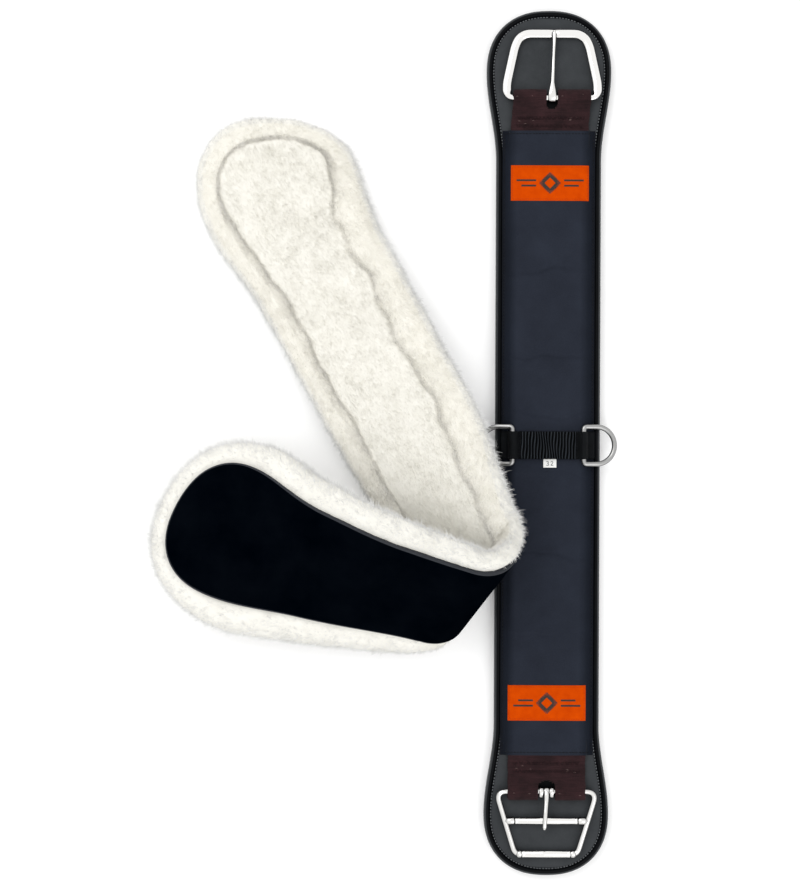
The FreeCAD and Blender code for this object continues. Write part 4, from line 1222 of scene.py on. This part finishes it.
def liner_map(s, w):
    """Points of the strip's middle surface and its forward, across and fleece-side directions."""
    s, w = np.broadcast_arrays(np.asarray(s, float), np.asarray(w, float))
    w = w * (1.0 + NEAR_SPREAD * smooth(600.0, 720.0, s) * smooth(-10.0, 40.0, w))
    centre, forward, across, up = far_frame(s)
    points = centre + across * w[:, None]
    q = (s - FOLD_AT) * math.cos(FOLD_SKEW) + w * math.sin(FOLD_SKEW)
    rho = w * math.cos(FOLD_SKEW) - (s - FOLD_AT) * math.sin(FOLD_SKEW)
    rolling = (q >= 0) & (q <= FOLD_RADIUS * FOLD_TURN)
    a = (q[rolling] / FOLD_RADIUS)[:, None]
    lift = F_AHEAD * np.sin(a) + F_UP * (1 - np.cos(a))
    ahead = F_AHEAD * np.cos(a) + F_UP * np.sin(a)
    points[rolling] = F_CENTRE + F_AXIS * rho[rolling][:, None] + lift * FOLD_RADIUS
    forward[rolling] = ahead * math.cos(FOLD_SKEW) - F_AXIS * math.sin(FOLD_SKEW)
    across[rolling] = F_AXIS * math.cos(FOLD_SKEW) + ahead * math.sin(FOLD_SKEW)
    near = q > FOLD_RADIUS * FOLD_TURN
    u = s[near] - FOLD_END
    k = np.clip((u / STEP).astype(int), 0, len(NEAR[0]) - 2)
    f = np.maximum(u / STEP - k, 0.0)[:, None]
    start, go, side = [v[k] * (1 - f) + v[k + 1] * f for v in NEAR]
    start = start + go * np.minimum(u, 0.0)[:, None]
    points[near] = start + side * w[near][:, None]
    forward[near] = unit(go)
    across[near] = unit(side)
    return points, forward, across, np.cross(forward, across)


def lift_flat(flat):
    """Carries flat strip points (across, along, height) into the folded liner."""
    points, _, _, up = liner_map(flat[:, 1], flat[:, 0])
    return points + up * flat[:, 2:3]


STRIP_STEP = 2.2
STRIP_POINTS, STRIP_NORMALS = outline(LINER_LENGTH, STRIP_STEP)
STRIP_POINTS = STRIP_POINTS + [0, LINER_LENGTH / 2]


def edge_distance(flat):
    """How far inside the strip's outline a flat point is, roughly."""
    d = np.minimum(flat[:, 1], LINER_LENGTH - flat[:, 1])
    return np.minimum(half_width(d) - np.abs(flat[:, 0]), d)


def make_backing():
    """The black loop-faced foam strip on the outside of the fold, with a bevelled edge painted grey for the
    light that falls on its side wall.
    """
    profile = [(1.6, -2.5), (0.9, -2.45), (0.35, -2.1), (0.05, -1.3), (0.0, 0.5), (0.1, 2.4), (2.0, 2.6)]
    ring = loop_rings(STRIP_POINTS, STRIP_NORMALS, profile)
    bundle = Bundle()
    # the bevelled edge ring is painted grey as painted light on the backing's side wall
    bundle.add(lift_flat(ring), grid_faces(len(profile), len(STRIP_POINTS), close_cols=True), 1)
    xy, rows, cols = inside_grid(STRIP_POINTS, STRIP_NORMALS, 1.5, 56, STRIP_STEP)
    flat = at_height(xy, -BACK_HALF)
    flat[:, 2] += field(flat, 40.0, 12.0) * 0.03 * np.clip(edge_distance(flat), 0, 10)
    bundle.add(lift_flat(flat), grid_faces(rows, cols), 0)
    obj = bundle.build("liner_back_pad", [MAT["loop"], MAT["edge"]])
    place(obj, "liner", "liner_loop", "liner_backing")


def border_scale(flat):
    """How wide the rolled border is inside the outline; it wanders, and one side is narrow."""
    wander = 1.0 + 0.16 * np.sin(flat[:, 1] / 19.0 + flat[:, 0] / 30.0) + 0.1 * np.sin(flat[:, 1] / 7.3)
    narrow = 1.0 - 0.5 * smooth(5.0, -25.0, flat[:, 0])
    return wander * narrow * (0.22 + 0.78 * smooth(10.0, 110.0, flat[:, 1]))


def border_stretch(base, inset):
    """Factor on a border profile's inset at points of the outline."""
    across, along = base.T
    near = smooth(520.0, 620.0, along) * (1.0 - smooth(740.0, 820.0, along))
    outside = 1.0 + near * (0.3 + 0.35 * smooth(20.0, -20.0, across))
    return np.where(inset > 0, border_scale(base)[:, None], outside[:, None])


def border_height(height, along):
    """The border's height over the strip; its crown is lower round the far tip."""
    crown = np.maximum(height - 16.0, 0.0)
    return height - crown * 0.7 * (1.0 - smooth(10.0, 110.0, along))


def border_points(profile):
    """The rolled border's rings, as flat (across, along, height) points."""
    rings = []
    for inset, height in profile:
        reach = inset * border_stretch(STRIP_POINTS, np.full((len(STRIP_POINTS), 1), inset))
        xy = STRIP_POINTS - STRIP_NORMALS * reach
        rings.append(np.column_stack([xy, border_height(height, STRIP_POINTS[:, 1])]))
    return np.concatenate(rings)


MIDDLE_LUMPS = 0.28         # how much of the lumps is left inside the border
FUR_BORDER, FUR_RIM, FUR_MIDDLE = 0, 1, 2    # places in a fibre mesh's list of materials
BORDER_FIBRES, MIDDLE_FIBRES = 52000, 26000    # in one batch
FIBRE_LENGTH = (4.0, 8.2)
FIBRE_HALF_WIDTH = (0.07, 0.13)
FIBRE_DEPTH = 1.2          # how deep under the fleece's surface a fibre starts

# the rolled border in section, as (inset from the strip's edge, height), from below round its outside
FLEECE_PROFILE = [(2.5, 2.6), (-2.0, 1.6), (-7.0, 0.6), (-11.5, 1.4), (-15.0, 3.8), (-17.2, 7.0),
                  (-17.8, 10.2), (-17.0, 13.0), (-14.6, 15.4), (-11.0, 17.2), (-6.5, 18.3), (-1.5, 18.9),
                  (3.5, 18.8), (8.0, 18.3), (11.5, 17.6), (14.0, 16.8), (15.6, 16.6), (17.0, 16.3),
                  (18.6, 15.8)]


def profile_normals():
    """Outward (side, up) of each point of the fleece's border profile."""
    along = unit(np.gradient(np.array(FLEECE_PROFILE) * [-1, 1], axis=0))
    return np.stack([along[:, 1], -along[:, 0]], 1)


def fleece_lumps(flat):
    """Soft clumps in the pile, in millimetres."""
    points = np.column_stack([flat[:, 0], flat[:, 1] * 0.8, flat[:, 2]])
    return field(points, 26.0, 20.0) * 1.1 + field(points, 11.0, 21.0) * 0.9 + field(points, 5.0, 22.0) * 0.45


def middle_height(flat):
    """The fleece inside its rolled border."""
    crease = 15.5 * border_scale(flat)
    return 16.2 + 1.2 * smooth(-4.0, 9.0, edge_distance(flat) - crease)


def make_fleece():
    """The fleece's body: the rolled border and the lower middle inside it."""
    ring = border_points(FLEECE_PROFILE)
    normals = np.concatenate([np.column_stack([STRIP_NORMALS * c, np.full(len(STRIP_NORMALS), s)])
                              for c, s in profile_normals()])
    bumpy = ring + normals * fleece_lumps(ring)[:, None]
    bundle = Bundle()
    faces = grid_faces(len(FLEECE_PROFILE), len(STRIP_POINTS), close_cols=True, flip=True)
    bundle.add(lift_flat(bumpy), faces)
    xy, rows, cols = inside_grid(STRIP_POINTS, STRIP_NORMALS, 1.8, 64, STRIP_STEP)
    flat = at_height(xy, 0.0)
    flat[:, 2] = middle_height(flat) + fleece_lumps(flat) * MIDDLE_LUMPS
    bundle.add(lift_flat(flat), grid_faces(rows, cols, flip=True), 1)
    obj = bundle.build("liner_fleece_body", [MAT["fleece"], MAT["fleece_middle"]])
    place(obj, "liner", "fleece", "liner_fleece")


def border_seeds(rng, count):
    """Fibres of the border: roots (across, along, height), directions, lengths and kinds."""
    profile = np.array(FLEECE_PROFILE)
    outwards = profile_normals()
    k = rng.integers(1, len(profile) - 1, count)
    f = rng.random(count)
    point = profile[k] * (1 - f)[:, None] + profile[k + 1] * f[:, None]
    normal = unit(outwards[k] * (1 - f)[:, None] + outwards[k + 1] * f[:, None])
    n = len(STRIP_POINTS)
    at = rng.random(count) * n
    i = at.astype(int) % n
    g = (at - at.astype(int))[:, None]
    base = STRIP_POINTS[i] * (1 - g) + STRIP_POINTS[(i + 1) % n] * g
    out = unit(STRIP_NORMALS[i] * (1 - g) + STRIP_NORMALS[(i + 1) % n] * g)
    inset = point[:, :1] * border_stretch(base, point[:, :1])
    roots = np.column_stack([base - out * inset, border_height(point[:, 1], base[:, 1])])
    where = k + f
    long = np.interp(where, [0.0, 2.0, 5.0, 8.0, 13.0, len(profile) - 1.0], [0.35, 0.6, 1.1, 0.95, 0.7, 0.6])
    # painted shade and light: fibres under and outside the roll take the greyer rim copy, the rest of the
    # border the brighter copy
    kind = np.where((where > 1.0) & (where < 8.5), FUR_RIM, FUR_BORDER)
    return roots, np.column_stack([out * normal[:, :1], normal[:, 1]]), long, kind


def middle_seeds(rng, count):
    """The same for the fibres inside the border, which stand straight up."""
    s = rng.uniform(6.0, LINER_LENGTH - 6.0, count * 2)
    w = rng.uniform(-1, 1, count * 2) * HEAD_HALF_WIDTH
    roots = np.column_stack([w, s, np.zeros_like(s)])
    roots = roots[edge_distance(roots) > 7.0 * border_scale(roots)][:count]
    roots[:, 2] = middle_height(roots)
    up = np.tile([0.0, 0.0, 1.0], (len(roots), 1))
    return roots, up, np.full(len(roots), 0.7), np.full(len(roots), FUR_MIDDLE)


def ribbons(name, verts, kinds):
    """One mesh of fibres, five vertices each: a quad and a pointed tip."""
    count = len(kinds)
    start = np.arange(count) * 5
    quads = np.stack([start, start + 1, start + 2, start + 3], 1)
    tips = np.stack([start + 3, start + 2, start + 4], 1)
    mesh = bpy.data.meshes.new(name)
    loops = np.concatenate([quads.ravel(), tips.ravel()])
    starts = np.concatenate([np.arange(count) * 4, count * 4 + np.arange(count) * 3])
    mesh.vertices.add(len(verts))
    mesh.vertices.foreach_set("co", (verts * MM).ravel())
    mesh.loops.add(len(loops))
    mesh.loops.foreach_set("vertex_index", loops.astype(np.int32))
    mesh.polygons.add(2 * count)
    mesh.polygons.foreach_set("loop_start", starts.astype(np.int32))
    mesh.polygons.foreach_set("use_smooth", np.ones(2 * count, dtype=bool))
    for kind in ("fur_border", "fur_rim", "fur_middle"):
        mesh.materials.append(MAT[kind])
    mesh.polygons.foreach_set("material_index", np.tile(kinds, 2).astype(np.int32))
    mesh.update(calc_edges=True)
    obj = bpy.data.objects.new(name, mesh)
    bpy.context.scene.collection.objects.link(obj)
    place(obj, "liner", "fleece")


def make_fur():
    """Fibres over the whole fleece, leaning with the nap, as fine tapered ribbons."""
    rng = np.random.default_rng(2024)
    batches = 6
    for batch in range(batches):
        seeds = zip(border_seeds(rng, BORDER_FIBRES), middle_seeds(rng, MIDDLE_FIBRES))
        roots, up, long, kind = [np.concatenate(pair) for pair in seeds]
        inner = kind == FUR_MIDDLE
        rim = kind == FUR_RIM
        roots = roots + up * (fleece_lumps(roots) * np.where(inner, MIDDLE_LUMPS, 1.0))[:, None]
        count = len(roots)
        tuft = field(roots, 5.0, 33.0)
        sway = field(roots, 24.0, 31.0)
        loose = np.where(inner, 0.35, 1.0)
        nap = np.column_stack([0.2 + (0.35 * sway + 0.25 * tuft) * loose, 0.75 + 0.3 * tuft * loose,
                               np.zeros(count)])
        nap *= np.where(inner, 1.15, 0.55)[:, None]
        jitter = rng.normal(0, 0.2, (count, 3))
        lean_dir = unit(up * np.where(inner, 0.6, 0.9)[:, None] + nap + jitter)
        side = unit(np.cross(lean_dir, rng.normal(0, 1, (count, 3))))
        stray = rim & (rng.random(count) < 0.04)
        clump = np.clip(field(roots, 2.4, 35.0) - 0.05, 0.0, 0.4)
        uneven = np.where(rim, 0.6 + 1.5 * clump + 0.2 * tuft, 1.0 + 0.3 * tuft) + 0.4 * stray
        length = (rng.uniform(*FIBRE_LENGTH, count) * long * uneven)[:, None]
        width = (rng.uniform(*FIBRE_HALF_WIDTH, count) / long ** 0.5 * (1 + stray))[:, None]
        curl = unit(nap + rng.normal(0, 0.4, (count, 3))) * length * 0.2
        base = roots - up * FIBRE_DEPTH
        mid = base + lean_dir * length * 0.55
        tip = base + lean_dir * length + curl
        corners = np.stack([base - side * width, base + side * width, mid + side * width * 0.9,
                            mid - side * width * 0.9, tip], 1)
        verts = lift_flat(corners.reshape(-1, 3))
        ribbons("fleece_fibres_%d" % batch, verts, kind)


# =====================================================================
# light, floor and camera
# =====================================================================

def make_floor():
    """A wide white floor just under the pad."""
    far, z = 60000, -0.4
    shader = Shader("floor", (0.9, 0.9, 0.9, 1.0), 0.9, Specular_IOR_Level=0.0,
                    Emission_Color=(1.0, 1.0, 1.0, 1.0), Emission_Strength=0.15)
    verts = [(-far, -far, z), (far, -far, z), (far, far, z), (-far, far, z)]
    build_mesh("floor", verts, [(0, 1, 2, 3)], [shader.material], flat=True)


def area_light(name, place_at, target, power):
    """A square lamp aimed at a point."""
    light = bpy.data.lights.new(name, "AREA")
    light.shape = "RECTANGLE"
    light.size = light.size_y = 1.2
    light.energy = power
    obj = bpy.data.objects.new(name, light)
    obj.location = place_at
    obj.rotation_euler = (Vector(target) - Vector(place_at)).to_track_quat("-Z", "Y").to_euler()
    bpy.context.scene.collection.objects.link(obj)


def make_light():
    """An even white surround with a soft key and a weaker fill."""
    world = bpy.data.worlds.new("studio")
    world.use_nodes = True
    background = world.node_tree.nodes["Background"]
    background.inputs["Color"].default_value = (1.0, 1.0, 1.0, 1.0)
    background.inputs["Strength"].default_value = 1.0
    bpy.context.scene.world = world
    area_light("key", (-0.9, 1.0, 1.9), (-0.1, 0.0, 0.0), 12.0)
    area_light("fill", (0.8, -1.2, 1.7), (0.0, -0.2, 0.0), 7.0)


def make_camera():
    """Straight above, a little left of the girth, turned a quarter of a degree."""
    data = bpy.data.cameras.new("camera")
    data.sensor_fit = "VERTICAL"
    data.sensor_height = 36.0
    height, view_height = 2.5, 0.875
    data.lens = data.sensor_height * height / view_height
    data.clip_end = 20.0
    camera = bpy.data.objects.new("camera", data)
    camera.location = (-0.1450, -0.0006, height)
    camera.rotation_euler = (0.0, 0.0, math.radians(0.25))
    bpy.context.scene.collection.objects.link(camera)
    bpy.context.scene.camera = camera


make_binding()
make_cover()
make_edge_stitching()
make_panel()
make_panel_stitching()
make_webbing("webbing_upper", 1, 346.7, TOP_BAR_Y, 5.6, "load_webbing")
make_webbing("webbing_lower", -1, 350.2, -LOW_BAR_Y, 8.3)
make_label(1, "label_patch_upper")
make_label(-1, "label_patch_lower")
make_strap_base()
make_ring_strap()
make_size_tag()
make_backing()
make_fleece()
make_fur()
make_buckles()
for node, material in (("left_d_ring", "ring"), ("right_d_ring", "ring"), ("hook_tape", "hook"),
                       ("base_panel", "inner"), ("foam_upper", "inner"), ("foam_middle", "inner"),
                       ("foam_lower", "inner")):
    dress(node, material)

make_floor()
make_light()
make_camera()

bpy.context.scene.view_settings.view_transform = "Standard"
